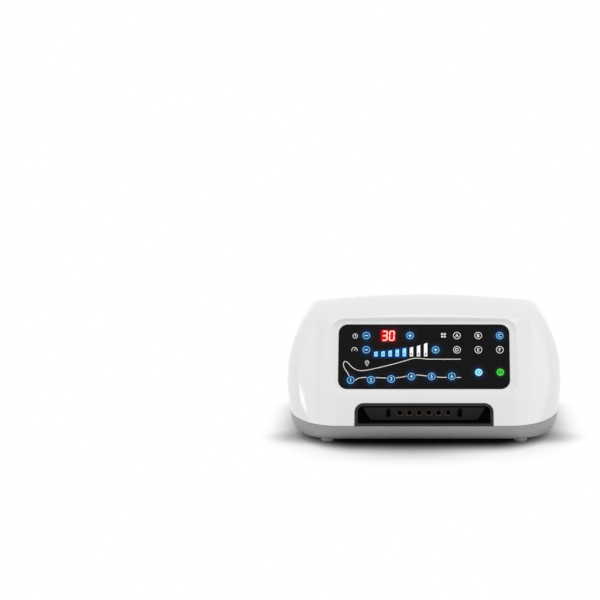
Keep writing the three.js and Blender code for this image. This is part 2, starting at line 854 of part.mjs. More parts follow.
// Air manifold, with a nozzle behind each seal, and its valves
function airManifold() {
  const at = [0, manifoldMiddleY, outletHeight];
  const bar = block(manifoldWidth, manifoldDepth, manifoldHeight, at);
  const nozzles = outletXs.map((x) =>
    rod(nozzleDiameter, bayBackY, manifoldFrontY + rootDepth, "y", [x, 0, outletHeight]),
  );
  const end = manifoldWidth / 2;
  const barb = rod(barbDiameter, end - rootDepth, end + barbLength, "x", [0, ...at.slice(1)]);
  const bores = outletXs.map((x) =>
    rod(nozzleBore, bayBackY - overrun, bayBackY + nozzleBoreDepth, "y", [x, 0, outletHeight]),
  );
  return cut(joined([bar, ...nozzles, barb]), bores);
}

addPiece(root, "air_manifold", geometryOf(airManifold()), manifoldPlastic);

const valveGeometry = geometryOf(
  joined([
    block(valveWidth, valveDepth, valveHeight, [0, valveDepth / 2, 0]),
    rod(coilDiameter, valveDepth - rootDepth, valveDepth + coilLength, "y"),
  ]),
);
for (let i = 0; i < outletCount; i += 1) {
  const x = (i - (outletCount - 1) / 2) * valvePitch;
  addPiece(root, `solenoid_valve_${i + 1}`, valveGeometry, steel, [x, manifoldBackY + gap, outletHeight]);
}

// Pump: a body on four rubber mounts, a head at each end, and the armature that runs through it
const pump = new THREE.Group();
const mountTop = panInnerFloor + gap + mountHeight;
const pumpBase = mountTop + gap;
pump.position.set(pumpAside, frontY + pumpFromFront, pumpBase + pumpHeight / 2);
root.add(pump);
const tunnelWidth = armatureThickness + 2 * gap;

const pumpBody = cut(solid(block(pumpLength, pumpDepth, pumpHeight)), [
  block(pumpLength + 2 * overrun, tunnelWidth, tunnelWidth),
]);
addPiece(pump, "pump_body", geometryOf(pumpBody), castMetal);

const headNear = pumpLength / 2 + gap;

function pumpHead(side) {
  const far = headNear + headThickness;
  const shell = block(headThickness, headDepth, headHeight, [side * (headNear + headThickness / 2), 0, 0]);
  const pieces = [shell];
  if (side > 0) {
    pieces.push(rod(barbDiameter, far - rootDepth, far + barbLength, "x", [0, -outletBarbForward, 0]));
  }
  const chamberEnds = [side * (headNear - overrun), side * (headNear + chamberDepth)];
  const chamber = rod(chamberDiameter, Math.min(...chamberEnds), Math.max(...chamberEnds), "x");
  return cut(joined(pieces), [chamber]);
}

addPiece(pump, "pump_head_left", geometryOf(pumpHead(-1)), castMetal);
addPiece(pump, "pump_head_right", geometryOf(pumpHead(1)), castMetal);

const armatureHalf = pumpLength / 2 + armatureReach;
const armature = joined([
  block(2 * armatureHalf - diaphragmThickness, armatureThickness, armatureThickness),
  rod(diaphragmDiameter, armatureHalf - diaphragmThickness, armatureHalf, "x"),
  rod(diaphragmDiameter, -armatureHalf, diaphragmThickness - armatureHalf, "x"),
]);
addPiece(pump, "pump_armature", geometryOf(armature), steel);

const mountGeometry = rod(mountDiameter, -mountHeight, 0);
for (const [end, sideX] of [["left", -1], ["right", 1]]) {
  for (const [row, sideY] of [["front", -1], ["rear", 1]]) {
    const at = [
      sideX * (pumpLength / 2 - mountInset),
      sideY * (pumpDepth / 2 - mountInset),
      mountTop - pump.position.z,
    ];
    addPiece(pump, `pump_mount_${row}_${end}`, mountGeometry, blackRubber, at);
  }
}

// Air hose from the pump head to the manifold
function airHose() {
  const start = new THREE.Vector3(manifoldWidth / 2 + barbLength + gap, manifoldMiddleY, outletHeight);
  const end = new THREE.Vector3(pumpEnd + barbLength + gap, -outletBarbForward, 0).add(pump.position);
  const aside = start.x + hoseBend * hoseDiameter;
  const route = new THREE.CatmullRomCurve3(
    [
      start,
      new THREE.Vector3(start.x + hoseDiameter / 2, start.y, start.z),
      new THREE.Vector3(aside, start.y + 2 * hoseDiameter, start.z + hoseDiameter),
      new THREE.Vector3(aside, end.y - 2 * hoseDiameter, end.z + hoseDiameter),
      new THREE.Vector3(end.x + 3 * hoseDiameter, end.y, end.z + hoseDiameter),
      new THREE.Vector3(end.x + hoseDiameter, end.y, end.z),
      end,
    ],
    false,
    "centripetal",
  );
  const section = new THREE.Shape().absarc(0, 0, hoseDiameter / 2, 0, 2 * Math.PI);
  section.holes.push(new THREE.Path().absarc(0, 0, hoseBore / 2, 0, 2 * Math.PI, true));
  const settings = { steps: hoseSteps, curveSegments: hoseCurveSteps, extrudePath: route };
  return new THREE.ExtrudeGeometry(section, settings);
}

addPiece(root, "air_hose", airHose(), hoseSilicone);

// Base pan
const mainBoardPosts = [];
for (const sideX of [-1, 1]) {
  for (const sideY of [-1, 1]) {
    mainBoardPosts.push([
      mainBoardAside + sideX * (mainBoardWidth / 2 - mainBoardPostDiameter),
      mainBoardY + sideY * (mainBoardDepth / 2 - mainBoardPostDiameter),
      0,
    ]);
  }
}
const footPlaces = [
  ["front_left", -footX, frontY + footFromEnd],
  ["front_right", footX, frontY + footFromEnd],
  ["rear_left", -footX, rearY - footFromEnd],
  ["rear_right", footX, rearY - footFromEnd],
];
const panSteps = 6;

// Rings of the bowl from its floor up to the seam.
function bowlRings(inset, floor, top) {
  const rings = [];
  for (let i = panSteps; i >= 0; i -= 1) {
    const turn = (i / panSteps) * (Math.PI / 2);
    const power = 2 / (2 + panFullness);
    const share = 1 - Math.cos(turn) ** power;
    const sideIn = THREE.MathUtils.lerp(inset, panSideRun, share);
    const frontIn = THREE.MathUtils.lerp(inset, panFrontRun, share);
    const z = top - (top - floor) * Math.sin(turn) ** power;
    const half = stations.map((q) => {
      const point = outlinePoint(seamHeight, q, sideIn, frontIn, share * panCornerFullness);
      return new THREE.Vector3(point.x, point.y, z);
    });
    rings.push(mirroredLoop(half));
  }
  return rings;
}

function basePan() {
  const top = seamHeight - fitSeam;
  const outer = solid(loft(bowlRings(0, panFloor, top)));
  const innerRings = bowlRings(panWall, panInnerFloor, top);
  const lid = innerRings[innerRings.length - 1].map((point) => point.clone().setZ(top + overrun));
  let body = outer.subtract(solid(loft([...innerRings, lid])));
  const screwBosses = screwPlaces.map(([, x, y]) => rod(panBossDiameter, panFloor, top, "z", [x, y, 0]));
  const boardPostTop = panInnerFloor + mainBoardRise;
  const posts = mainBoardPosts.map((at) => rod(mainBoardPostDiameter, panFloor, boardPostTop, "z", at));
  body = body.add(joined([...screwBosses, ...posts]));
  const headBore = screwHeadDiameter + 2 * gap;
  const vents = [];
  for (let i = 0; i < ventCount; i += 1) {
    const x = (i - (ventCount - 1) / 2) * ventPitch;
    const at = [x, frontY + ventFromFront, panFloor + panWall / 2];
    vents.push(block(ventWidth, ventLength, panWall + 2 * overrun, at));
  }
  return cut(body, [
    ...screwPlaces.map(([, x, y]) => rod(headBore, panFloor - overrun, screwSeat, "z", [x, y, 0])),
    ...screwPlaces.map(([, x, y]) => rod(screwBore, panFloor, top + overrun, "z", [x, y, 0])),
    ...footPlaces.map(([, x, y]) =>
      rod(footStemDiameter + 2 * gap, panFloor - overrun, panInnerFloor + overrun, "z", [x, y, 0]),
    ),
    ...vents,
  ]);
}

addPiece(root, "base_pan", geometryOf(basePan()), greyPan);

// Feet and housing screws
const footTop = panFloor - gap;
const footGeometry = turned([
  [0, 0],
  [footDiameter / 2 - footChamfer, 0],
  [footDiameter / 2, footChamfer],
  [footDiameter / 2, footTop],
  [footStemDiameter / 2, footTop],
  [footStemDiameter / 2, footTop + footStemLength],
  [0, footTop + footStemLength],
]);
for (const [place, x, y] of footPlaces) {
  addPiece(root, `foot_${place}`, footGeometry, greyRubber, [x, y, 0]);
}

const screwShape = turned([
  [0, -gap - screwHeadHeight],
  [screwHeadDiameter / 2, -gap - screwHeadHeight],
  [screwHeadDiameter / 2, -gap],
  [screwDiameter / 2, -gap],
  [screwDiameter / 2, screwLength],
  [0, screwLength],
]);
const socketTop = -gap - screwHeadHeight + screwSocketDepth;
const socketSides = 6;
const socketBottom = socketTop - screwSocketDepth - overrun;
const screwSocket = rod(screwSocketWidth, socketBottom, socketTop, "z", [0, 0, 0], socketSides);
const screwGeometry = geometryOf(cut(solid(screwShape), [screwSocket]));
for (const [place, x, y] of screwPlaces) {
  addPiece(root, `housing_screw_${place}`, screwGeometry, steel, [x, y, screwSeat]);
}

// Main board and transformer
function mainBoard() {
  const sheet = block(mainBoardWidth, mainBoardDepth, boardThickness, [0, 0, boardThickness / 2]);
  const relayX = mainBoardWidth / 2 - relayWidth;
  const relayZ = boardThickness + relayHeight / 2 - rootDepth;
  const relays = [-1, 1].map((side) =>
    block(relayWidth, relayDepth, relayHeight, [relayX, side * relayDepth, relayZ]),
  );
  const capacitorX = capacitorDiameter - mainBoardWidth / 2;
  const capacitorTop = boardThickness + capacitorHeight;
  const capacitors = [-1, 1].map((side) =>
    rod(capacitorDiameter, rootDepth / 2, capacitorTop, "z", [capacitorX, side * capacitorDiameter, 0]),
  );
  return joined([sheet, ...relays, ...capacitors]);
}

const mainBoardZ = panInnerFloor + mainBoardRise + gap;
const mainBoardAt = [mainBoardAside, mainBoardY, mainBoardZ];
addPiece(root, "main_board", geometryOf(mainBoard()), greenBoard, mainBoardAt);

const transformerGeometry = geometryOf(
  joined([
    block(transformerWidth, transformerDepth, transformerHeight),
    block(windingWidth, windingDepth, windingHeight),
  ]),
);
addPiece(root, "transformer", transformerGeometry, ironCore, [
  bodyWidth / 2 - transformerFromSide,
  transformerY,
  panInnerFloor + gap + transformerHeight / 2,
]);

// Mains entry: socket, fuse drawer and rocker in one moulding, its origin on the flange face
const entry = new THREE.Group();
entry.position.set(pocketAside, entryFaceY, pocketCentreHeight);
root.add(entry);

function socketCavity() {
  const half = socketWidth / 2;
  const shape = new THREE.Shape();
  shape.moveTo(-half, -socketHeight / 2);
  shape.lineTo(half, -socketHeight / 2);
  shape.lineTo(half, socketHeight / 2 - socketChamfer);
  shape.lineTo(half - socketChamfer, socketHeight / 2);
  shape.lineTo(socketChamfer - half, socketHeight / 2);
  shape.lineTo(-half, socketHeight / 2 - socketChamfer);
  shape.closePath();
  const cavity = plate(shape, 0, socketDepth + overrun).rotateX(Math.PI / 2);
  return cavity.translate(socketAside, overrun, socketRise);
}

function mainsEntry() {
  const flange = block(flangeWidth, flangeThickness, flangeHeight, [0, -flangeThickness / 2, 0]);
  const low = [-entryBodyWidth / 2, -flangeThickness - entryBodyDepth, -entryBodyHeight / 2];
  const body = box(low, [entryBodyWidth / 2, -rootDepth, entryBodyHeight / 2]);
  const pinRises = [socketRise, socketRise + earthPinRise, socketRise];
  const pins = pinRises.map((z, i) => {
    const x = socketAside + (i - 1) * (pinSpacing / 2);
    const depth = pinLength + rootDepth;
    return block(pinThickness, depth, pinWidth, [x, depth / 2 - rootDepth - socketDepth, z - pinWidth / 2]);
  });
  const rockerHole = block(
    rockerWidth + 2 * gap,
    2 * (rockerPivotDepth + 3 * rockerBack),
    rockerHeight + 2 * rockerSweep,
    [rockerAside, 0, 0],
  );
  const drawerHole = block(
    drawerWidth + 2 * gap,
    2 * (drawerLength + gap),
    drawerHeight + 2 * gap,
    [socketAside, 0, -drawerDrop],
  );
  return cut(joined([flange, body]), [socketCavity(), rockerHole, drawerHole]).add(joined(pins));
}

addPiece(entry, "mains_entry", geometryOf(mainsEntry()), moulding);

const drawerGeometry = box(
  [-drawerWidth / 2, -drawerLength, -drawerHeight / 2],
  [drawerWidth / 2, drawerGrip, drawerHeight / 2],
);
addPiece(entry, "fuse_drawer", drawerGeometry, moulding, [socketAside, 0, -drawerDrop]);

function rockerGeometry() {
  const shape = new THREE.Shape();
  shape.moveTo(-rockerHeight / 2, rockerTip);
  shape.lineTo(-rockerBackHeight / 2, -rockerBack);
  shape.lineTo(rockerBackHeight / 2, -rockerBack);
  shape.lineTo(rockerHeight / 2, rockerTip);
  shape.lineTo(0, rockerCrown);
  shape.closePath();
  const bar = plate(shape, -rockerWidth / 2, rockerWidth / 2);
  const upright = new THREE.Matrix4().makeBasis(
    new THREE.Vector3(0, 0, 1),
    new THREE.Vector3(0, 1, 0),
    new THREE.Vector3(-1, 0, 0),
  );
  return bar.applyMatrix4(upright);
}

const rocker = addPiece(entry, "rocker_switch", rockerGeometry(), blackPlastic, [
  rockerAside,
  -rockerPivotDepth,
  0,
]);
rocker.rotation.x = THREE.MathUtils.degToRad(rockerTilt);

export default root;
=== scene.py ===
import math

import bpy
import numpy as np
from mathutils import Matrix, Vector


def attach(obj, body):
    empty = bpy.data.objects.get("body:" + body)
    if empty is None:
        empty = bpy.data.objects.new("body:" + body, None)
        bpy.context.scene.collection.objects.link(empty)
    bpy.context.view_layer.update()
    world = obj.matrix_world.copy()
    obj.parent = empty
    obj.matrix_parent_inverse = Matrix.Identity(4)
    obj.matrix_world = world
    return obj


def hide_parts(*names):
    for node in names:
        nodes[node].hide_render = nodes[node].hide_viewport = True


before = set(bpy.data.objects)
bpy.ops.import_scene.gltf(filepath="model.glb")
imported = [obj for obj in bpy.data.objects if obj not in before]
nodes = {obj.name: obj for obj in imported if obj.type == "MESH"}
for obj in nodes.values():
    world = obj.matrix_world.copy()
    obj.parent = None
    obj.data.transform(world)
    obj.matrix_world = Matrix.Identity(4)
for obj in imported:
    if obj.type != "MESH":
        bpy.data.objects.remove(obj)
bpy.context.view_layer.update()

# ----------------------------------------
# Camera. It stands 1.5 m before the console and looks 13 degrees down, with a long lens.
# The console sits low and to the right in a square picture, so the lens is shifted left and up.
def add_object(name, data):
    """A new object with that data, put into the scene."""
    thing = bpy.data.objects.new(name, data)
    bpy.context.scene.collection.objects.link(thing)
    return thing


looks_down = math.radians(13)
camera_data = bpy.data.cameras.new("camera")
camera_data.sensor_fit = "HORIZONTAL"
camera_data.sensor_width = 36.0
camera_data.lens = 86.6
camera_data.shift_x = -0.2067
camera_data.shift_y = 0.1003
camera = add_object("camera", camera_data)
camera.location = (0.0, -1.46406, 0.40243)
camera.rotation_euler = (math.pi / 2 - looks_down, 0.0, 0.0)
bpy.context.scene.camera = camera
bpy.context.scene.view_settings.view_transform = "Standard"


# ----------------------------------------
# Studio. A wide pale table under an even white sky, with a big soft lamp overhead, two before the
# console, a wide one low on either side, and a narrow one low on the left that glints on the corner.
# The table's colour holds a painted shadow: dark under the console, most of all under its front, and white
# away from it.
def node_material(name):
    """A new material, its node tree, and in that tree the place on the piece."""
    material = bpy.data.materials.new(name)
    material.use_nodes = True
    tree = material.node_tree
    tree.nodes.clear()
    return material, tree, add_node(tree, "TexCoord").outputs["Object"]


def add_node(tree, kind, values=None, **settings):
    """Adds a node. values sets its inputs, by name or by number; a socket given there is linked."""
    node = tree.nodes.new("ShaderNode" + kind)
    for name, value in settings.items():
        setattr(node, name, value)
    for name, value in (values or {}).items():
        if isinstance(value, bpy.types.NodeSocket):
            tree.links.new(value, node.inputs[name])
        else:
            node.inputs[name].default_value = value
    return node


def amount(tree, operation, *values):
    """The result of a sum on numbers."""
    return add_node(tree, "Math", dict(enumerate(values)), operation=operation).outputs[0]


def vector(tree, operation, *values):
    """The result of a sum on vectors, which is a number for LENGTH."""
    node = add_node(tree, "VectorMath", dict(enumerate(values)), operation=operation)
    return node.outputs["Value" if operation == "LENGTH" else "Vector"]


def scaled(tree, colour, share):
    return add_node(tree, "VectorMath", {0: colour, 3: share}, operation="SCALE").outputs[0]


def ramp(tree, value, start, end, first=0.0, last=1.0, kind="SMOOTHSTEP"):
    """Goes from first to last while the value goes from start to end."""
    spans = {"Value": value, "From Min": start, "From Max": end, "To Min": first, "To Max": last}
    return add_node(tree, "MapRange", spans, interpolation_type=kind).outputs[0]


def blend_colours(tree, share, first, second):
    values = {"Factor": share, 6: (*first, 1), 7: (*second, 1)}
    return add_node(tree, "Mix", values, data_type="RGBA").outputs[2]


def seen_directly(tree):
    """1 for rays of the camera, and for those that a glossy or clear surface sends on, else 0."""
    rays = add_node(tree, "LightPath").outputs
    either = amount(tree, "MAXIMUM", rays["Is Camera Ray"], rays["Is Glossy Ray"])
    return amount(tree, "MAXIMUM", either, rays["Is Transmission Ray"])


def past_edge(tree, place, middle, reach, corner=0.0):
    """How far a place lies outside a rectangle with round corners, in metres."""
    folded = vector(tree, "ABSOLUTE", vector(tree, "SUBTRACT", place, (*middle, 0)))
    past = vector(tree, "SUBTRACT", folded, (reach[0] - corner, reach[1] - corner, 0))
    away = vector(tree, "LENGTH", vector(tree, "MAXIMUM", past, (0, 0, 0)))
    return amount(tree, "SUBTRACT", away, corner)


def pool(tree, place, middle, reach, depth):
    """A soft oval of painted shade: depth in its middle, 1 from its rim on."""
    moved = vector(tree, "SUBTRACT", place, (*middle, 0))
    return ramp(tree, vector(tree, "LENGTH", vector(tree, "DIVIDE", moved, (*reach, 1))), 0, 1, depth)


table_reach = 6.0
table_mesh = bpy.data.meshes.new("table_top")
table_corners = [(x * table_reach, y * table_reach, 0) for x, y in ((-1, -1), (1, -1), (1, 1), (-1, 1))]
table_mesh.from_pydata(table_corners, [], [(0, 1, 2, 3)])
table_top = add_object("table_top", table_mesh)

pale_table, tree, place = node_material("pale_table")
table_mesh.materials.append(pale_table)
# Painted shadow: the pools and the ramps from the console's front and outline darken the table's colour under
# and beside it.
squashed = vector(tree, "MULTIPLY", place, (1, 0.8, 1))
from_front = past_edge(tree, squashed, (0, -0.0384), (0.090, 0.0233), 0.0233)
from_body = past_edge(tree, place, (0, 0), (0.137, 0.1025), 0.055)
pools = pool(tree, place, (-0.0135, -0.084), (0.107, 0.104), 0.5)
for end in (-0.128, 0.128):
    pools = amount(tree, "MULTIPLY", pools, pool(tree, place, (end, -0.066), (0.055, 0.035), 0.62))
shade = amount(tree, "MULTIPLY", pools, ramp(tree, from_front, 0.004, 0.040, 0.04))
share = amount(tree, "MULTIPLY", pools, seen_directly(tree))
for open_table in (ramp(tree, from_front, 0.017, 0.076), ramp(tree, from_body, -0.005, 0.030)):
    share = amount(tree, "MULTIPLY", share, open_table)
mottle = add_node(tree, "TexNoise", {"Vector": place, "Scale": 240.0, "Detail": 3.0}).outputs["Fac"]
paper = blend_colours(tree, mottle, (0.955, 0.955, 0.955), (0.985, 0.985, 0.985))
matte = add_node(tree, "BsdfDiffuse", {"Color": scaled(tree, paper, shade), "Roughness": 0.6})
white = add_node(tree, "Emission", {"Color": (1, 1, 1, 1), "Strength": 1.0})
mixed = add_node(tree, "MixShader", {0: share, 1: matte.outputs[0], 2: white.outputs[0]})
add_node(tree, "OutputMaterial", {"Surface": mixed.outputs[0]})

white_sky = bpy.data.worlds.new("white_sky")
white_sky.use_nodes = True
bpy.context.scene.world = white_sky
tree = white_sky.node_tree
tree.nodes.clear()
sky = add_node(tree, "Background", {"Color": (1, 1, 1, 1), "Strength": 0.54})
backdrop = add_node(tree, "Background", {"Color": (1, 1, 1, 1), "Strength": 1.0})
mixed = add_node(tree, "MixShader", {0: seen_directly(tree), 1: sky.outputs[0], 2: backdrop.outputs[0]})
add_node(tree, "OutputWorld", {"Surface": mixed.outputs[0]})

# Each lamp: its name, place, aim, width and height, power, and turn about its own line of sight.
for name, place, aim, (width, height), power, turn in (
        ("lamp_overhead", (0, -0.2, 1.6), (0, 0, 0), (1.6, 1.2), 7.6, 0),
        ("lamp_key", (-0.9, -1.3, 1.3), (0, 0, 0.06), (1.2, 1.0), 2.4, 0),
        ("lamp_fill", (1.1, -1.2, 1.0), (0, 0, 0.06), (1.2, 1.0), 2.4, 0),
        ("lamp_left", (-1.3, -0.2, 0.45), (0, 0, 0.05), (1.0, 0.7), 1.7, 0),
        ("lamp_right", (1.3, -0.2, 0.45), (0, 0, 0.05), (1.0, 0.7), 2.2, 0),
        ("lamp_glint", (-0.93, 0.035, 0.11), (-0.1197, -0.0764, 0.0389), (0.2, 0.08), 0.2, 16)):
    light = bpy.data.lights.new(name, "AREA")
    light.shape = "RECTANGLE"
    light.size, light.size_y = width, height
    light.energy = power
    lamp = add_object(name, light)
    lamp.location = place
    sight = (Vector(aim) - Vector(place)).to_track_quat("-Z", "Y").to_matrix()
    lamp.rotation_euler = (sight @ Matrix.Rotation(math.radians(turn), 3, "Z")).to_euler()

# ----------------------------------------
# Base pan. A shallow grey bowl, injection moulded in ABS with a fine spark texture, closed below the
# console by four screws from underneath. It carries the pump, the boards and the four feet.
mm = 0.001
gap = 0.3
tilt = math.radians(28)
body_width, body_depth, body_height = 280, 205, 132.2
front_y, rear_y = -body_depth / 2, body_depth / 2
seam_height, joint_height, widest_height, top_height = 21, 21.6, 50, 124
side_lean_in, side_tuck_in, rear_lean_in = 26, 3.3, 10
face_half, front_corner_run, rear_corner_width, rear_corner_run = 84, 76, 55, 60
pan_floor, pan_wall, pan_front_run, pan_side_run, pan_rim = 4.5, 2.5, 21, 14, 0.5
foot_x, foot_y = 96.2, 75.5
corners = {"front_left": (-1, -1), "front_right": (1, -1), "rear_left": (-1, 1), "rear_right": (1, 1)}
screw_places = [(x, y) for x in (-105, 105) for y in (front_y + 55, rear_y - 45)]
screw_seat, screw_bore, screw_head, boss_diameter = 10, 3.6, 7, 11


def outline(z, q, inset=0.0, front_inset=None, fullness=0.0):
    """Right half of the body's outline at height z. q: 0 to 1 the flat face, 1 to 2 the front corner,
    2 to 3 the side, 3 to 4 the rear corner, 4 to 5 the rear wall."""
    z, q = np.broadcast_arrays(np.asarray(z, float), np.asarray(q, float))
    if front_inset is None:
        front_inset = inset / math.cos(tilt)
    rise = z - seam_height
    above = np.clip((z - widest_height) / (top_height - widest_height), 0, None)
    below = np.clip((widest_height - z) / (widest_height - seam_height), 0, None)
    half = body_width / 2 - side_lean_in * above ** 2.3 - side_tuck_in * below ** 2
    side = half - inset
    front = front_y + rise * math.tan(tilt) + front_inset
    widest = front_y + front_corner_run + rise * (math.tan(tilt) - 0.352)
    rear = rear_y - rear_lean_in * (rise / 100) ** 2 - inset
    corner_x, corner_y = half - rear_corner_width, rear + inset - rear_corner_run
    turn = (q % 1) * math.pi / 2
    power = 2 / (2 + fullness)
    sine, cosine = np.sin(turn) ** power, np.cos(turn) ** power
    parts = [q < 1, q < 2, q < 3, q < 4]
    x = np.select(parts, [face_half * q, face_half + (side - face_half) * sine, side,
                          corner_x + (side - corner_x) * cosine], corner_x * (5 - q))
    y = np.select(parts, [front, widest + (front - widest) * cosine, widest + (corner_y - widest) * (q % 1),
                          corner_y + (rear - corner_y) * sine], rear)
    return x, y


def whole_ring(x, y, z):
    """Closes the right half into a ring, anticlockwise from above."""
    right = np.stack([x, y, np.broadcast_to(z, x.shape)], axis=1)
    return np.concatenate([right, right[-2:0:-1] * (-1, 1, 1)])


def spaced(*spans):
    """Runs of evenly spaced numbers: (from, to, steps) each."""
    return np.concatenate([np.linspace(a, b, n, endpoint=False) for a, b, n in spans] + [[spans[-1][1]]])


def new_piece(name, points, faces, place=Matrix.Identity(4)):
    """A mesh object from points in millimetres."""
    mesh = bpy.data.meshes.new(name)
    mesh.from_pydata((np.asarray(points, float) * mm).tolist(), [], faces)
    piece = add_object(name, mesh)
    piece.matrix_world = place
    return piece


def closed_rings(name, rings, place=Matrix.Identity(4), peak=None):
    """A closed body through rings of points, lowest first, capped flat or drawn to a peak."""
    size = len(rings[0])
    last = (len(rings) - 1) * size
    points = np.concatenate(rings if peak is None else [*rings, [peak]])
    faces = [(low + i, low + (i + 1) % size, low + size + (i + 1) % size, low + size + i)
             for low in range(0, last, size) for i in range(size)]
    faces.append(tuple(range(size))[::-1])
    if peak is None:
        faces.append(tuple(range(last, last + size)))
    else:
        faces += [(last + i, last + (i + 1) % size, last + size) for i in range(size)]
    return new_piece(name, points, faces, place)


def fillet(points, radii, steps=6, closed=True):
    """Rounds the corners of a line in the plane, each by its own radius."""
    points = np.asarray(points, float)
    count = len(points)
    out = []
    for i, (point, radius) in enumerate(zip(points, np.broadcast_to(radii, count))):
        if radius <= 0 or (not closed and i in (0, count - 1)):
            out.append(point)
            continue
        before, after = points[i - 1] - point, points[(i + 1) % count] - point
        before /= np.linalg.norm(before)
        after /= np.linalg.norm(after)
        half = math.acos(np.clip(before @ after, -1, 1)) / 2
        run, sweep = radius / math.tan(half), math.pi - 2 * half
        centre = point + (before + after) / np.linalg.norm(before + after) * radius / math.sin(half)
        first, last = point + before * run - centre, point + after * run - centre
        for share in np.linspace(0, 1, steps + 1):
            turned = first * math.sin((1 - share) * sweep) + last * math.sin(share * sweep)
            out.append(centre + turned / math.sin(sweep))
    return np.array(out)


def block_outline(width, bottom, top, radius=0.0, steps=8, middle=0.0):
    """A rectangle centred on x = middle; radius may be one number or (bottom, top)."""
    low, high = np.broadcast_to(radius, 2)
    left, right = middle - width / 2, middle + width / 2
    return fillet([(left, bottom), (right, bottom), (right, top), (left, top)], [low, low, high, high], steps)


def disc_outline(diameter, at=(0, 0), sides=48):
    turn = np.arange(sides) * 2 * math.pi / sides
    return np.stack([at[0] + diameter / 2 * np.cos(turn), at[1] + diameter / 2 * np.sin(turn)], axis=1)


def prism(name, shape, low, high, place=Matrix.Identity(4)):
    """A straight plate of a flat shape, from one height to another."""
    rings = [np.column_stack([shape, np.full(len(shape), level)]) for level in (low, high)]
    return closed_rings(name, rings, place)


def modify(piece, name, kind, **settings):
    change = piece.modifiers.new(name, kind)
    for setting, value in settings.items():
        setattr(change, setting, value)
    return piece


def work_in(piece):
    """Works the modifiers into the mesh."""
    bpy.context.view_layer.update()
    made = bpy.data.meshes.new_from_object(piece.evaluated_get(bpy.context.evaluated_depsgraph_get()))
    made.name = piece.name
    piece.modifiers.clear()
    piece.data = made
    return made


def settle(piece, angle=32):
    """Works the modifiers in, then shades the piece smooth with its sharper edges kept crisp."""
    made = work_in(piece)
    made.polygons.foreach_set("use_smooth", [True] * len(made.polygons))
    made.set_sharp_from_angle(angle=math.radians(angle))
    return modify(piece, "even_shading", "WEIGHTED_NORMAL", mode="FACE_AREA", weight=100, keep_sharp=True)


def shape_with(piece, tools, operation="DIFFERENCE"):
    """Cuts the tools out of a piece, joins them to it, or keeps what they share, and removes them."""
    for tool in tools:
        modify(piece, operation.lower(), "BOOLEAN", operation=operation, solver="MANIFOLD", object=tool)
    work_in(piece)
    for tool in tools:
        bpy.data.objects.remove(tool)
    return piece


def break_edges(piece, width, segments=2, angle=38):
    """Rounds the sharp edges by a small radius, as a mould does."""
    return modify(piece, "broken_edges", "BEVEL", width=width * mm, segments=segments, limit_method="ANGLE",
                  angle_limit=math.radians(angle), use_clamp_overlap=True)


def flatten_faces(piece):
    """Joins the triangles of each flat face into one face, so that its edges can be rounded."""
    return modify(piece, "flat_faces", "DECIMATE", decimate_type="DISSOLVE", angle_limit=math.radians(0.6))


pan_stations = spaced((0, 1, 12), (1, 2, 44), (2, 3, 8), (3, 4, 36), (4, 5, 12))
pan_top = joint_height - gap / 2


def bowl(name, inset, floor, lid=0.0, rim=0.0):
    """The bowl between its floor and the joint: a little fuller than a quarter of an ellipse all round."""
    def ring(side_in, front_in, z, fullness=0.0):
        return whole_ring(*outline(joint_height, pan_stations, side_in, front_in, fullness), z)

    rings, power, edge = [], 2 / 2.3, pan_top - rim
    for turn in np.linspace(math.pi / 2, 0, 22):
        share = 1 - max(math.cos(turn), 0) ** power
        rings.append(ring(inset + (pan_side_run - inset) * share, inset + (pan_front_run - inset) * share,
                          edge - (edge - floor) * math.sin(turn) ** power, 0.8 * share))
    for turn in np.linspace(0, math.pi / 2, 5)[1:] if rim else []:
        run_in = rim * (1 - math.cos(turn))
        rings.append(ring(run_in, run_in, edge + rim * math.sin(turn)))
    if lid:
        rings.append(ring(inset, inset, pan_top + lid))
    return closed_rings(name, rings)


base_pan = bowl("base_pan_shell", 0, pan_floor, rim=pan_rim)
hollow = bowl("hollow", pan_wall, pan_floor + pan_wall, lid=3)
bosses = [prism("boss", disc_outline(boss_diameter, at), pan_floor, pan_top) for at in screw_places]
shape_with(hollow, bosses)
cutters = [hollow]
cutters += [prism("vent", block_outline(3, -69.5, -39.5, 1.49, 8, (i - 3.5) * 8), 0, 12) for i in range(8)]
cutters += [prism("counterbore", disc_outline(screw_head, at), 0, screw_seat) for at in screw_places]
cutters += [prism("bore", disc_outline(screw_bore, at, 24), 6, 24) for at in screw_places]
cutters += [prism("stem_hole", disc_outline(5.6, (x * foot_x, y * foot_y), 24), 0, 12)
            for x, y in corners.values()]
settle(shape_with(base_pan, cutters))
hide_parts("base_pan")
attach(base_pan, "console")


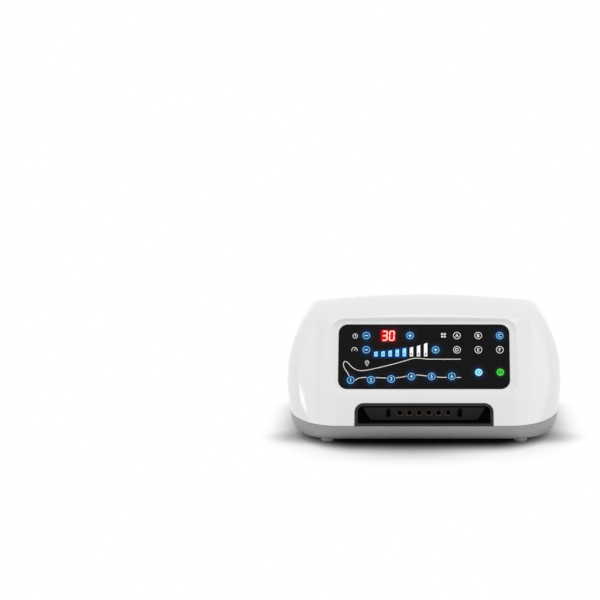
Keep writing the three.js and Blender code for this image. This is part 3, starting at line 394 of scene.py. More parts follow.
def make_skin_group():
    """Surface of a moulded piece: a fine spark texture, and slow patches of sheen and tone."""
    group = bpy.data.node_groups.new("moulded_skin", "ShaderNodeTree")
    for name, way, kind in (
            ("Vector", "INPUT", "Vector"), ("Grain", "INPUT", "Float"), ("Patch", "INPUT", "Float"),
            ("Colour", "INPUT", "Color"), ("Tone", "INPUT", "Float"), ("Roughness", "INPUT", "Float"),
            ("Spread", "INPUT", "Float"), ("Colour", "OUTPUT", "Color"), ("Roughness", "OUTPUT", "Float"),
            ("Height", "OUTPUT", "Float")):
        group.interface.new_socket(name, in_out=way, socket_type="NodeSocket" + kind)
    given = group.nodes.new("NodeGroupInput").outputs
    result = group.nodes.new("NodeGroupOutput").inputs
    grain = add_node(group, "TexNoise", {"Vector": given["Vector"], "Scale": given["Grain"], "Detail": 4.0,
                                         "Roughness": 0.6}).outputs["Fac"]
    pits = add_node(group, "TexVoronoi", {"Vector": given["Vector"], "Scale": given["Grain"]},
                    feature="SMOOTH_F1").outputs["Distance"]
    patch = add_node(group, "TexNoise", {"Vector": given["Vector"], "Scale": given["Patch"], "Detail": 3.0,
                                         "Roughness": 0.55, "Distortion": 0.4}).outputs["Fac"]
    cloud = amount(group, "SUBTRACT", patch, 0.5)
    cloud = amount(group, "MULTIPLY_ADD", amount(group, "SUBTRACT", grain, 0.5), 0.35, cloud)
    lift = amount(group, "MULTIPLY_ADD", cloud, given["Tone"], 1.0)
    rough = amount(group, "MULTIPLY_ADD", cloud, given["Spread"], given["Roughness"])
    group.links.new(scaled(group, given["Colour"], lift), result["Colour"])
    group.links.new(rough, result["Roughness"])
    group.links.new(amount(group, "ADD", grain, pits), result["Height"])
    return group


skin_group = make_skin_group()


def end_material(tree, values, height=None, bump=0.0, depth=0.0):
    """The surface, with these values. height is a texture that stands out by depth millimetres."""
    if height is not None:
        relief = add_node(tree, "Bump", {"Strength": bump, "Distance": depth * mm, "Height": height})
        values = values | {"Normal": relief.outputs[0]}
    body = add_node(tree, "BsdfPrincipled", values)
    add_node(tree, "OutputMaterial", {"Surface": body.outputs[0]})


def moulded(name, colour, roughness, grain=2600.0, depth=0.012, bump=0.25, patch=24.0, tone=0.05,
            spread=0.12, specular=0.5, metallic=0.0, stretch=(1, 1, 1), light=None):
    """A material with the moulded skin. depth is the height of its texture in millimetres, stretch its
    scale along each axis, and light a function that gives the colour of light from within."""
    material, tree, place = node_material(name)
    turned = add_node(tree, "Mapping", {"Vector": place, "Scale": stretch}).outputs[0]
    skin = add_node(tree, "Group", {
        "Vector": turned, "Grain": grain, "Patch": patch, "Colour": (*colour, 1), "Tone": tone,
        "Roughness": roughness, "Spread": spread}, node_tree=skin_group).outputs
    values = {"Base Color": skin["Colour"], "Roughness": skin["Roughness"], "Metallic": metallic,
              "Specular IOR Level": specular}
    if light:
        values |= {"Emission Color": light(tree, place), "Emission Strength": 1.0}
    end_material(tree, values, skin["Height"], bump, depth)
    return material


def paint(piece, *materials):
    """Gives a piece its materials in place of those it had."""
    piece.data.materials.clear()
    for material in materials:
        piece.data.materials.append(material)
    return piece


paint(base_pan, moulded("grey_spark_textured_abs", (0.34, 0.34, 0.342), 0.42, grain=2200, depth=0.02,
                        bump=0.35))

# ----------------------------------------
# Feet. Four light grey rubber buttons, moulded with a stem that snaps into a hole in the pan, and with
# a soft round edge and two shallow rings below that grip the table.
foot_top = pan_floor - gap


def lathe(name, profile, sides=64, place=Matrix.Identity(4)):
    """A turned body. The profile holds (radius, height), from the axis at the bottom to the axis at the
    top, or goes round the section of a ring."""
    profile = np.asarray(profile, float)
    rows = [np.column_stack([disc_outline(2 * r, sides=sides), np.full(sides, z)])
            for r, z in profile if r > 1e-6]
    count = len(rows)
    ring = count == len(profile)
    faces = [(a * sides + i, a * sides + (i + 1) % sides, b * sides + (i + 1) % sides, b * sides + i)
             for a, b in ((k, (k + 1) % count) for k in range(count if ring else count - 1))
             for i in range(sides)]
    if not ring:
        rows += [[(0, 0, profile[0][1])], [(0, 0, profile[-1][1])]]
        last, bottom = (count - 1) * sides, count * sides
        faces += [((i + 1) % sides, i, bottom) for i in range(sides)]
        faces += [(last + i, last + (i + 1) % sides, bottom + 1) for i in range(sides)]
    return new_piece(name, np.concatenate(rows), faces, place)


def at_mm(x, y, z):
    return Matrix.Translation(Vector((x, y, z)) * mm)


foot_profile = fillet([(0, 0.35), (1.6, 0.35), (1.9, 0), (2.9, 0), (3.2, 0.35), (4.0, 0.35), (4.3, 0),
                       (6.2, 0), (7, 1.3), (7, foot_top), (2.5, foot_top), (2.5, foot_top + 2.6),
                       (3.1, foot_top + 3.0), (1.6, foot_top + 4.3), (0, foot_top + 4.3)],
                      [0, 0.1, 0.1, 0.1, 0.1, 0.1, 0.1, 0.8, 0.7, 0.5, 0.1, 0.1, 0.2, 0.4, 0], 4,
                      closed=False)
grey_rubber = moulded("light_grey_rubber", (0.62, 0.62, 0.615), 0.55, grain=3400, depth=0.02, bump=0.5,
                      patch=60, tone=0.08, spread=0.1, specular=0.3)
for name, (x, y) in corners.items():
    foot = settle(lathe("foot_rubber_" + name, foot_profile, place=at_mm(x * foot_x, y * foot_y, 0)))
    paint(foot, grey_rubber)
    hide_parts("foot_" + name)
    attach(foot, "console")

# ----------------------------------------
# Housing screws. Zinc-plated pan-head screws with a hex socket, driven up through the pan into the
# posts of the housing.
def metal(name, colour, roughness, grain, stretch, tone, depth):
    """Bare or plated metal with drawn, brushed or cast marks along its x axis."""
    return moulded(name, colour, roughness, grain, depth, bump=0.3, patch=40.0, tone=tone, spread=0.25,
                   metallic=1.0, stretch=stretch)


zinc = metal("zinc_plate", (0.60, 0.61, 0.62), 0.34, 900, (1, 1, 1), 0.3, 0.01)
for name in corners:
    break_edges(paint(nodes["housing_screw_" + name], zinc), 0.25)

# ----------------------------------------
# Main board and transformer. A green glass-fibre board on four posts with two relays and two large
# capacitors, and an iron-core transformer with a taped winding behind it.
main_board_top = 15.6
lamination = 0.5


def mark_parts(board, board_top, place=Matrix.Identity(4)):
    """Gives the faces above a board's top, which belong to its parts, the second material."""
    upright, margin = place.inverted(), 0.1
    for face in board.data.polygons:
        if (upright @ face.center).z > (board_top + margin) * mm:
            face.material_index = 1


# Solder mask over copper tracks, with rows of tinned joints.
green_board, tree, place = node_material("green_board")
tracks = add_node(tree, "TexBrick", {
    "Vector": place, "Color1": (0.012, 0.10, 0.045, 1), "Color2": (0.016, 0.125, 0.06, 1),
    "Mortar": (0.03, 0.19, 0.10, 1), "Scale": 130.0, "Mortar Size": 0.05, "Brick Width": 0.9,
    "Row Height": 0.22}).outputs
joints = add_node(tree, "TexVoronoi", {"Vector": place, "Scale": 330.0, "Randomness": 0.55})
dots = amount(tree, "LESS_THAN", joints.outputs["Distance"], 0.22)
tinned = add_node(tree, "Mix", {"Factor": dots, 6: tracks["Color"], 7: (0.55, 0.56, 0.57, 1)},
                  data_type="RGBA")
end_material(tree, {"Base Color": tinned.outputs[2], "Metallic": dots, "Roughness": 0.36}, tracks["Fac"],
             0.4, 0.05)

black_case = moulded("black_part_case", (0.02, 0.02, 0.022), 0.42, grain=1600, depth=0.01, bump=0.25)
break_edges(paint(nodes["main_board"], green_board, black_case), 0.2)
mark_parts(nodes["main_board"], main_board_top)

# Sheets of iron, seen edge on under varnish.
iron_layers, tree, place = node_material("varnished_laminations")
bands = add_node(tree, "TexWave", {"Vector": place, "Scale": 0.314 / (lamination * mm), "Distortion": 0.6,
                                   "Detail": 2.0, "Detail Scale": 3.0}, bands_direction="X").outputs["Fac"]
varnish = blend_colours(tree, bands, (0.12, 0.12, 0.125), (0.23, 0.235, 0.24))
end_material(tree, {"Base Color": varnish, "Roughness": 0.45, "Metallic": 0.7}, bands, 0.5, 0.1)
break_edges(paint(nodes["transformer"], iron_layers), 0.4)

# ----------------------------------------
# Pump. A linear diaphragm pump: a cast body on four rubber mounts, a cast head at each end, and a steel
# armature that swings between them.
cast_alloy = metal("cast_alloy", (0.50, 0.51, 0.52), 0.52, 700, (1, 1, 1), 0.25, 0.08)
mild_steel = metal("mild_steel", (0.52, 0.53, 0.55), 0.36, 500, (0.1, 1, 1), 0.3, 0.01)
black_rubber = moulded("black_rubber", (0.02, 0.02, 0.02), 0.8, grain=1800, depth=0.03, bump=0.5,
                       specular=0.3)
for name in ("pump_body", "pump_head_left", "pump_head_right"):
    break_edges(paint(nodes[name], cast_alloy), 0.8, 3)
break_edges(paint(nodes["pump_armature"], mild_steel), 0.3)
for name in corners:
    break_edges(paint(nodes["pump_mount_" + name], black_rubber), 0.5)

# ----------------------------------------
# Manifold, valves and hose. A black nylon bar with six nozzles that reach into the port bay, a valve
# with a steel coil can behind each, and a silicone hose from the pump.
outlets = 6
black_nylon = moulded("black_nylon", (0.004, 0.004, 0.0042), 0.6, grain=1500, depth=0.02, bump=0.3,
                      specular=0.15)
break_edges(paint(nodes["air_manifold"], black_nylon), 0.2)
for number in range(1, outlets + 1):
    break_edges(paint(nodes[f"solenoid_valve_{number}"], mild_steel), 0.4)
milky_silicone = moulded("milky_silicone", (0.55, 0.60, 0.59), 0.42, grain=900, depth=0.02, bump=0.2)
hose = paint(nodes["air_hose"], milky_silicone).data
hose.polygons.foreach_set("use_smooth", [True] * len(hose.polygons))

# ----------------------------------------
# Upper housing. One white ABS moulding, 3 mm thick and polished to a satin gloss: a leaning face with a
# shallow dished recess for the panel, the mouth of the port bay, and the mains pocket and vents behind.
housing_wall, housing_start = 3, joint_height + gap / 2
face_length = (body_height - seam_height) / math.cos(tilt)
recess_bottom, recess_top_margin, recess_width, recess_corner = 32, 13.34, 186, 15
recess_height = face_length - recess_bottom - recess_top_margin
recess_depth, recess_slope, recess_reach = 3.4, 5.7, 6
cover_width, cover_height, cover_corner, cover_thickness = recess_width - 16, recess_height - 14.4, 9, 1.5
cover_centre = recess_bottom + recess_height / 2
bay_width, bay_height, bay_corner, bay_rim = 136.6, 24.1, 9, 3
crest_y, crest_height, roof_run, roof_bend, roof_arch = front_y + 104, body_height - 0.3, 46, 250, 1992
entry_x, entry_z, entry_depth = 50, 48, 5 - gap - 2
face_frame = Matrix(((1, 0, 0, 0),
                     (0, math.sin(tilt), -math.cos(tilt), front_y * mm),
                     (0, math.cos(tilt), math.sin(tilt), seam_height * mm),
                     (0, 0, 0, 1)))
# Looking at the rear wall from behind: x to the left of the body's own, y up, z out to the rear.
entry_frame = Matrix(((-1, 0, 0, entry_x * mm), (0, 0, 1, (rear_y - entry_depth) * mm),
                      (0, 1, 0, entry_z * mm), (0, 0, 0, 1)))


def crown(x, y):
    """Height of the roof. Its crest is a little lower than the nominal height of the body."""
    behind = y - crest_y
    curved = np.minimum(behind, roof_run)
    fall = curved ** 2 / roof_bend + (behind - curved) * curved * 2 / roof_bend
    return crest_height - fall - x ** 2 / roof_arch


def dish(points, depth, lead):
    """Presses the recess into points of the face; lead is how far outside its edge the slope starts."""
    x, y, z = (points - (0, front_y, seam_height)).T
    s = y * math.sin(tilt) + z * math.cos(tilt)
    behind = y * math.cos(tilt) - z * math.sin(tilt)
    past = np.stack([np.abs(x) - recess_width / 2, np.abs(s - cover_centre) - recess_height / 2])
    past += recess_corner
    inside = recess_corner - np.hypot(*np.maximum(past, 0)) - np.minimum(past.max(axis=0), 0)
    share = np.clip((inside + lead) / recess_slope, 0, 1)
    wanted = depth * share * share * (3 - 2 * share)
    push = np.where((behind < depth + recess_reach) & (wanted > behind), wanted - behind, 0)
    return points + push[:, None] * np.array([0, math.cos(tilt), -math.sin(tilt)])


def dome(name, inset, stations, wall_heights, bend_steps, roof_steps, depth, lead, rim=0.0, bottom=0.0):
    """The housing's surface from the joint to the crest, as a closed body."""
    low, high = np.full(len(stations), seam_height, float), np.full(len(stations), body_height)
    for _ in range(40):
        middle = (low + high) / 2
        under = middle < crown(*outline(middle, stations, inset)) - inset
        low, high = np.where(under, middle, low), np.where(under, high, middle)
    peak = np.array([0, crest_y])
    edge = np.stack(outline(low, stations, inset), axis=1)
    reach = np.linalg.norm(edge - peak, axis=1)

    def roof(share):
        flat = edge + (peak - edge) * np.reshape(share, (-1, 1))
        return np.column_stack([flat, crown(*flat.T) - inset])

    def wall(z, run_in=inset):
        z = np.broadcast_to(z, len(stations))
        return np.column_stack([*outline(z, stations, run_in), z])

    blend, roof_end = 4.8, 0.97
    tops = low - blend
    bend_low, bend_high, shoulder = wall(tops), roof(blend / reach), np.column_stack([edge, low])
    levels = [] if rim else [wall(bottom)]
    for turn in np.linspace(0, math.pi / 2, 4)[:-1] if rim else []:
        levels.append(wall(housing_start + rim * (1 - math.cos(turn)), rim * (1 - math.sin(turn))))
    for height in wall_heights:
        share = (height - housing_start) / (wall_heights[-1] - housing_start)
        levels.append(wall(housing_start + rim + share * (tops - housing_start - rim)))
    for t in np.linspace(0, 1, bend_steps + 1)[1:]:
        levels.append((1 - t) ** 2 * bend_low + 2 * t * (1 - t) * shoulder + t * t * bend_high)
    for t in np.linspace(0, roof_end, roof_steps + 1)[1:]:
        levels.append(roof(blend / reach + (1 - blend / reach) * t))
    rings = [whole_ring(*dish(level, depth, lead).T) for level in levels]
    return closed_rings(name, rings, peak=(*peak, crown(*peak) - inset))


# The stations and heights lie close together where the edges of the recess cross the face.
outer_stations = spaced((0, 0.86, 22), (0.86, 1.0, 28), (1.0, 1.17, 42), (1.17, 2, 30), (2, 3, 8), (3, 4, 32),
                        (4, 5, 14))
outer_heights = spaced((housing_start, 47, 14), (47, 62.5, 46), (62.5, 105, 18), (105, 118, 40))
inner_stations = spaced((0, 1, 20), (1, 2, 22), (2, 3, 6), (3, 4, 16), (4, 5, 10))
inner_heights = spaced((housing_start, 118, 44))
housing = dome("housing_shell", 0, outer_stations, outer_heights, 14, 26, recess_depth, 0.6, rim=0.4)
hollow = dome("hollow", housing_wall, inner_stations, inner_heights, 5, 8, 7.7, 3.4, bottom=18)
post_diameter = 9
post_tools = [prism("post", disc_outline(post_diameter, at), housing_start, 140) for at in screw_places]
shape_with(hollow, post_tools + [prism("pad", block_outline(68, -21.5, 21.5, 3), -5.3, 6, entry_frame)])


def bay_outline(margin):
    return block_outline(bay_width + 2 * margin, -3, bay_height + margin, (0, bay_corner + margin), 16)


def cover_outline(margin):
    reach = cover_height / 2 + margin
    return block_outline(cover_width + 2 * margin, cover_centre - reach, cover_centre + reach,
                         cover_corner + margin, 16)


cutters = [
    hollow,
    prism("seat", cover_outline(gap), -recess_depth - cover_thickness - gap, -2.4, face_frame),
    prism("window", cover_outline(-4), -12, -3, face_frame),
    prism("mouth", bay_outline(0), -8, 4, face_frame),
    prism("pocket", block_outline(62, -18.5, 18.5, 3), -2.3, 9, entry_frame),
    prism("entry_hole", block_outline(50, -13.8, 13.8), -12, 0, entry_frame),
]
cutters += [prism("vent", block_outline(3, -12, 14, 1.49, 8, entry_x + 50 - (i - 4) * 8), -16, 9, entry_frame)
            for i in range(9)]
cutters += [prism("screw_bore", disc_outline(screw_bore, at, 24), 15, 32.3) for at in screw_places]
settle(shape_with(housing, cutters), 30)
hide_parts("upper_housing")
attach(housing, "console")
paint(housing, moulded("white_satin_abs", (0.845, 0.845, 0.845), 0.13, grain=1600, depth=0.006, bump=0.12,
                       patch=9, tone=0.012, spread=0.05))

# ----------------------------------------
# Port bay. A black ABS insert in the housing's mouth: a rim that follows the face, a cavity with
# sloped sides for the multi-hose connector, and a flat back wall with two latch slots.
bay_floor, bay_back, outlet_z, outlet_pitch = 23.9, front_y + 15.4, 31.4, 9.56
bay_side_slope, bay_side_start, tub_wall, latch_x = 1.1, 2.6, 2, 35.3
outlet_x = [(i - (outlets - 1) / 2) * outlet_pitch for i in range(outlets)]
upright = Matrix(((1, 0, 0, 0), (0, 0, -1, 0), (0, 1, 0, 0), (0, 0, 0, 1)))


def bay_volume(name, margin, reach, front):
    """The cavity's volume, grown by margin, its front moved out of the face by reach."""
    rings = []
    for z in (bay_floor - margin, seam_height + bay_height):
        face_y = front_y + (z - seam_height) * math.tan(tilt)
        mouth = bay_width / 2 - bay_rim + margin + bay_side_slope * bay_side_start
        back = bay_back + margin
        wide, narrow = mouth + bay_side_slope * reach, mouth - bay_side_slope * (back - face_y)
        rings.append(np.array([(-wide, face_y - reach, z), (wide, face_y - reach, z), (narrow, back, z),
                               (-narrow, back, z)]))
    mouth = block_outline(bay_width - 2 * bay_rim + 2 * margin, -bay_height, bay_height - bay_rim + margin,
                          (0, bay_corner - bay_rim + margin), 12)
    limit = prism("limit", mouth, -20, front, face_frame)
    return shape_with(closed_rings(name, rings), [limit], "INTERSECT")


def behind_wall(name, shape, depth=5):
    """A cutter through the bay's back wall."""
    return prism(name, shape, -bay_back - depth, -bay_back + 3, upright)


bay = prism("port_bay_insert", bay_outline(-gap), -3.4, 0, face_frame)
shape_with(bay, [bay_volume("tub", tub_wall, -gap, 0)], "UNION")
slot_outline = np.array([(-2.3, -4.3), (2.3, -4.3), (2.3, 4.3), (-1.0, 4.3), (-1.0, 2.6), (-2.3, 2.6)])
cutters = [bay_volume("cavity", 0, 3, 3), prism("under", block_outline(160, -140, -60), -10, housing_start)]
cutters += [behind_wall("latch", slot_outline + (x, outlet_z)) for x in (-latch_x, latch_x)]
cutters += [behind_wall("outlet", disc_outline(7.0, (x, outlet_z))) for x in outlet_x]
cutters += [behind_wall("mark", disc_outline(1.1, (-0.7, 35.6), 20), 0.6)]
settle(break_edges(flatten_faces(shape_with(bay, cutters)), 0.35, 2, 25))
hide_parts("port_bay")
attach(bay, "console")
paint(bay,
      moulded("black_textured_abs", (0.013, 0.013, 0.0134), 0.5, grain=2400, depth=0.02, bump=0.35, patch=50,
              tone=0.2, spread=0.15, specular=0.27),
      moulded("black_matt_abs", (0.0130, 0.0130, 0.0131), 0.6, grain=1900, depth=0.03, bump=0.4, patch=50,
              tone=0.25, spread=0.15, specular=0.25),
      # Painted shade: this copy of the black moulding is far darker, for the sides and floor of the cavity.
      moulded("black_abs_painted_shade", (0.0007, 0.0007, 0.0007), 0.8, grain=1500, depth=0.04, bump=0.5, patch=50,
              tone=0.2, spread=0.1, specular=0.03))
# The rim is textured and the back wall matt; the other faces of the cavity are coarse and painted far darker,
# a painted shade in the cavity.
for face in bay.data.polygons:
    x, _, z = face.center / mm
    to_front = -(face_frame.to_3x3() @ face.normal).y
    if z < -0.8 and abs(x) < bay_width / 2 - bay_rim + 0.3:
        face.material_index = 1 if to_front > 0.98 else 2

# ----------------------------------------
# Outlet seals. Six reddish brown silicone rings, pressed over the nozzles so that the hose connector
# seals against them.
seal_profile = fillet([(2.6, 0), (3.65, 0), (3.65, 1.2), (3.2, 1.2), (3.0, 0.3), (2.6, 0.3)],
                      [0.05, 0.1, 0.2, 0.2, 0.1, 0.1], 4)
brown_silicone = moulded("brown_silicone", (0.070, 0.022, 0.021), 0.5, grain=1800, depth=0.01, bump=0.2)
for number, x in enumerate(outlet_x):
    place = at_mm(x, bay_back - gap, outlet_z) @ upright
    seal = settle(paint(lathe(f"outlet_ring_{number + 1}", seal_profile, 48, place), brown_silicone))
    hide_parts(f"outlet_seal_{number + 1}")
    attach(seal, "console")

# ----------------------------------------
# Control board, digit display and light guide. A green glass-fibre board with a switch under each key,
# and on it a red lens over the digits and a clear acrylic guide for the bars, behind the dark cover.
control_board_top = -12
break_edges(paint(nodes["control_board"], green_board, black_case), 0.2)
mark_parts(nodes["control_board"], control_board_top, face_frame)
red_lens = moulded("red_lens", (0.25, 0.01, 0.01), 0.25, grain=300, depth=0.005, bump=0.1)
clear_acrylic = moulded("clear_acrylic", (0.75, 0.82, 0.87), 0.15, grain=300, depth=0.005, bump=0.1)
break_edges(paint(nodes["digit_display"], red_lens), 0.3)
break_edges(paint(nodes["bar_light_guide"], clear_acrylic), 0.2)

# ----------------------------------------
# Panel cover. A black gloss acrylic sheet let into the recess, with a round hole for each key. Light
# from behind spills into it as a haze round whatever is lit.
key_places = {
    "time_minus": (-0.338, 0.328), "time_plus": (-0.082, 0.328),
    "pressure_minus": (-0.338, 0.106), "pressure_plus": (0.068, 0.106),
    "mode_a": (0.193, 0.328), "mode_b": (0.318, 0.328), "mode_c": (0.444, 0.328),
    "mode_d": (0.193, 0.106), "mode_e": (0.318, 0.106), "mode_f": (0.444, 0.106),
    "position_1": (-0.427, -0.364), "position_2": (-0.309, -0.36), "position_3": (-0.191, -0.347),
    "position_4": (-0.074, -0.308), "position_5": (0.044, -0.307), "position_6": (0.162, -0.305),
    "start_pause": (0.445, -0.243), "power": (0.319, -0.245),
}
key_at = {name: (a * cover_width, cover_centre + b * cover_height) for name, (a, b) in key_places.items()}
key_hole = 8.6 + 2 * gap
blue_keys = [name for name in key_places if name.startswith(("time", "pressure", "position"))] + ["mode_c"]
bar_left, bar_foot, bar_width, bar_pitch, bar_tallest, bars_lit = -47.8, 72.5, 3.4, 7.06, 14.1, 5
bar_shares = [0.355, 0.39, 0.45, 0.53, 0.62, 0.71, 0.83, 1]
digit_middle = (-35.6, 93.8)

cover = prism("panel_sheet", cover_outline(0), -recess_depth - cover_thickness, -recess_depth, face_frame)
shape_with(cover, [prism("key_hole", disc_outline(key_hole, at, 72), -9, 0, face_frame)
                   for at in key_at.values()])
settle(break_edges(flatten_faces(cover), 0.3, 3))
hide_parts("panel_cover")
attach(cover, "console")

# Each haze: middle and reach of what is lit, where its fading starts and ends, its power, its colour.
hazes = [(key_at[name], (0, 0), 3.4, 9.5, 1.8, (0.0, 0.018, 0.062)) for name in blue_keys + ["power"]]
for i in range(bars_lit):
    half = (bar_tallest * bar_shares[i] - 0.8) / 2
    hazes.append(((bar_left + i * bar_pitch, bar_foot + half), (bar_width / 2, half), 0, 3.2, 1.5,
                  (0.0, 0.045, 0.22)))
hazes += [(digit_middle, (6.2, 4.8), 0, 1.9, 1.1, (0.66, 0.0, 0.004)),
          (digit_middle, (7, 5.2), 0, 12, 2.4, (0.028, 0.0, 0.0)),
          (key_at["start_pause"], (0, 0), 3.4, 7.0, 1.6, (0.0, 0.05, 0.001))]


def spilt_light(tree, place):
    """The hazes added up, in the face's own coordinates."""
    flat = vector(tree, "MULTIPLY", place, (1, 1, 0))
    total = (0, 0, 0)
    for middle, reach, start, end, power, colour in hazes:
        away = past_edge(tree, flat, np.array(middle) * mm, np.array(reach) * mm)
        near = ramp(tree, away, start * mm, end * mm, 1.0, 0.0, "LINEAR")
        total = vector(tree, "ADD", total, scaled(tree, colour, amount(tree, "POWER", near, power)))
    return total


panel_colour = (0.0030, 0.0030, 0.0032)
paint(cover, moulded("black_gloss_acrylic", panel_colour, 0.1, grain=420, depth=0.004, bump=0.08, patch=14,
                     tone=0.3, spread=0.1, specular=0.09, light=spilt_light))


# ----------------------------------------
# Lit windows and prints of the cover. Thin shapes on its surface: eight pressure bars, a seven-segment
# number, the outline of a leg, and a small sign by each group of keys.
def glowing(name, colour, core):
    """A lit window under a gloss skin. Its light wavers between two colours."""
    material, tree, place = node_material(name)
    cloud = add_node(tree, "TexNoise", {"Vector": place, "Scale": 1 / (0.9 * mm), "Detail": 1.0})
    light = blend_colours(tree, cloud.outputs["Fac"], colour, core)
    end_material(tree, {"Base Color": (0.02, 0.02, 0.02, 1), "Roughness": 0.2, "Specular IOR Level": 0.2,
                        "Emission Color": light, "Emission Strength": 1.0})
    return material


blue_light = glowing("blue_light", (0.17, 0.51, 0.86), (0.25, 0.60, 0.95))
blue_sign_light = glowing("blue_sign_light", (0.30, 0.72, 1.0), (0.42, 0.82, 1.0))
cyan_light = glowing("cyan_light", (0.22, 0.74, 1.0), (0.42, 0.88, 1.0))
pale_light = glowing("white_light", (0.88, 0.88, 0.88), (0.97, 0.97, 0.97))
digit_light = glowing("red_white_light", (1.0, 0.66, 0.60), (1.0, 0.80, 0.74))
green_light = glowing("green_light", (0.003, 0.46, 0.004), (0.006, 0.56, 0.008))
green_rim_light = glowing("green_rim_light", (0.06, 0.62, 0.05), (0.09, 0.72, 0.07))
shaded_bar = glowing("shaded_bar_light", (0.09, 0.42, 0.74), (0.12, 0.48, 0.82))
shaded_white = glowing("shaded_white_light", (0.26, 0.26, 0.26), (0.32, 0.32, 0.32))
dark_mark = glowing("shaded_mark", (0.02, 0.20, 0.36), (0.02, 0.20, 0.36))
dark_green_mark = glowing("shaded_green_mark", (0.0, 0.19, 0.0), (0.0, 0.19, 0.0))
white_print = moulded("white_print", (0.90, 0.87, 0.84), 0.4, grain=3000, depth=0.004, bump=0.2, tone=0.1)
print_foot, print_height = -0.02, 0.05
on_cover = face_frame @ at_mm(0, 0, -recess_depth)


def ribbon(line, width, closed=False):
    """Left and right edge of a line of that width, mitred at its corners."""
    line = np.asarray(line, float)
    after = np.roll(line, -1, axis=0) - line
    before = line - np.roll(line, 1, axis=0)
    if not closed:
        after[-1], before[0] = before[-1], after[0]
    after /= np.linalg.norm(after, axis=1)[:, None]
    before /= np.linalg.norm(before, axis=1)[:, None]
    along = after + before
    along /= np.linalg.norm(along, axis=1)[:, None]
    mitre = np.maximum((along * after).sum(1), 0.4)
    side = np.stack([-along[:, 1], along[:, 0]], axis=1) * (width / 2 / mitre)[:, None]
    return line + side, line - side


class Prints:
    """Collects thin raised shapes, each with the number of its material, for one mesh."""

    def __init__(self):
        self.points, self.faces, self.kinds = [], [], []

    def add(self, points, faces, kind):
        start = len(self.points)
        self.points += [tuple(point) for point in points]
        self.faces += [tuple(start + i for i in face) for face in faces]
        self.kinds += [kind] * len(faces)

    def plate(self, shape, kind=0, low=print_foot, high=print_height):
        count = len(shape)
        points = [(x, y, z) for z in (low, high) for x, y in shape]
        sides = [(i, (i + 1) % count, count + (i + 1) % count, count + i) for i in range(count)]
        self.add(points, sides + [tuple(range(count))[::-1], tuple(range(count, 2 * count))], kind)

    def band(self, line, width, kind=0, closed=False, low=print_foot, high=print_height):
        edges = ribbon(line, width, closed)
        count = len(edges[0])
        points = [(x, y, z) for z in (low, high) for edge in edges for x, y in edge]
        # The four corners of the band's section, going round it, as the starts of their rows.
        section = (0, count, 3 * count, 2 * count)
        faces = [(a + i, a + j, b + j, b + i) for i in range(count if closed else count - 1)
                 for j in [(i + 1) % count] for a, b in zip(section, section[1:] + section[:1])]
        if not closed:
            faces += [section, tuple(row + count - 1 for row in section[::-1])]
        self.add(points, faces, kind)

    def merge(self, mesh, kind, move=(0, 0, 0)):
        self.add([np.array(vertex.co) / mm + move for vertex in mesh.vertices],
                 [tuple(face.vertices) for face in mesh.polygons], kind)

    def piece(self, name, place, *materials):
        made = new_piece(name, self.points, self.faces, place)
        made.data.polygons.foreach_set("material_index", self.kinds)
        for material in materials:
            made.data.materials.append(material)
        return made


def arc(radius, first, last, steps, at=(0, 0)):
    turn = np.radians(np.linspace(first, last, steps))
    return np.stack([at[0] + radius * np.cos(turn), at[1] + radius * np.sin(turn)], axis=1)


def circle_line(radius, at=(0, 0), steps=64):
    return arc(radius, 0, 360, steps + 1, at)[:-1]


def smooth_line(points, steps=24):
    """A curve through the points, with even tangents."""
    points = np.asarray(points, float)
    padded = np.concatenate([[2 * points[0] - points[1]], points, [2 * points[-1] - points[-2]]])
    out = [0.5 * (2 * b + (c - a) * t + (2 * a - 5 * b + 4 * c - d) * t ** 2
                  + (3 * b - a - 3 * c + d) * t ** 3)
           for a, b, c, d in zip(padded, padded[1:], padded[2:], padded[3:])
           for t in np.linspace(0, 1, steps, endpoint=False)]
    return np.array(out + [points[-1]])


bars = Prints()
for i, share in enumerate(bar_shares):
    middle, lit = bar_left + i * bar_pitch, i < bars_lit
    left, right, top = middle - bar_width / 2, middle + bar_width / 2, bar_foot + bar_tallest * share
    bar_slant = 0.55 + 0.12 * i
    bars.plate(fillet([(left, bar_foot), (right, bar_foot), (right, top), (left, top - bar_slant)], 0.25, 3),
               0 if lit else 1)
    bars.plate(block_outline(1.6, bar_foot + 1.1, bar_foot + 3.6, 0.4, 4, middle), 2 if lit else 3,
               high=print_height + 0.01)
bar_windows = bars.piece("pressure_bars", on_cover, cyan_light, pale_light, shaded_bar, shaded_white)

digits = Prints()
digit_width, digit_height, digit_pitch, stroke, lean, nip = 5.6, 10.6, 7, 1.2, 0.05, 0.1
wide, high = (digit_width - stroke) / 2, (digit_height - stroke) / 2
segments = {
    "top": ((nip - wide, high), (wide - nip, high)), "middle": ((nip - wide, 0), (wide - nip, 0)),
    "bottom": ((nip - wide, -high), (wide - nip, -high)),
    "upper_left": ((-wide, nip), (-wide, high - nip)), "upper_right": ((wide, nip), (wide, high - nip)),
    "lower_left": ((-wide, nip - high), (-wide, -nip)), "lower_right": ((wide, nip - high), (wide, -nip)),
}
for side, names in ((-1, "top middle bottom upper_right lower_right"),
                    (1, "top bottom upper_left upper_right lower_left lower_right")):
    for name in names.split():
        # One stroke of a digit, with pointed ends, leaning a little to the right.
        start, end = np.array(segments[name])
        along = (end - start) / np.linalg.norm(end - start) * stroke / 2
        across = np.array([-along[1], along[0]])
        shape = np.array([start, start + along - across, end - along - across, end, end - along + across,
                          start + along + across])
        shape[:, 0] += lean * shape[:, 1] + side * digit_pitch / 2
        digits.plate(shape + digit_middle)
digit_windows = digits.piece("lit_digits", on_cover, digit_light)

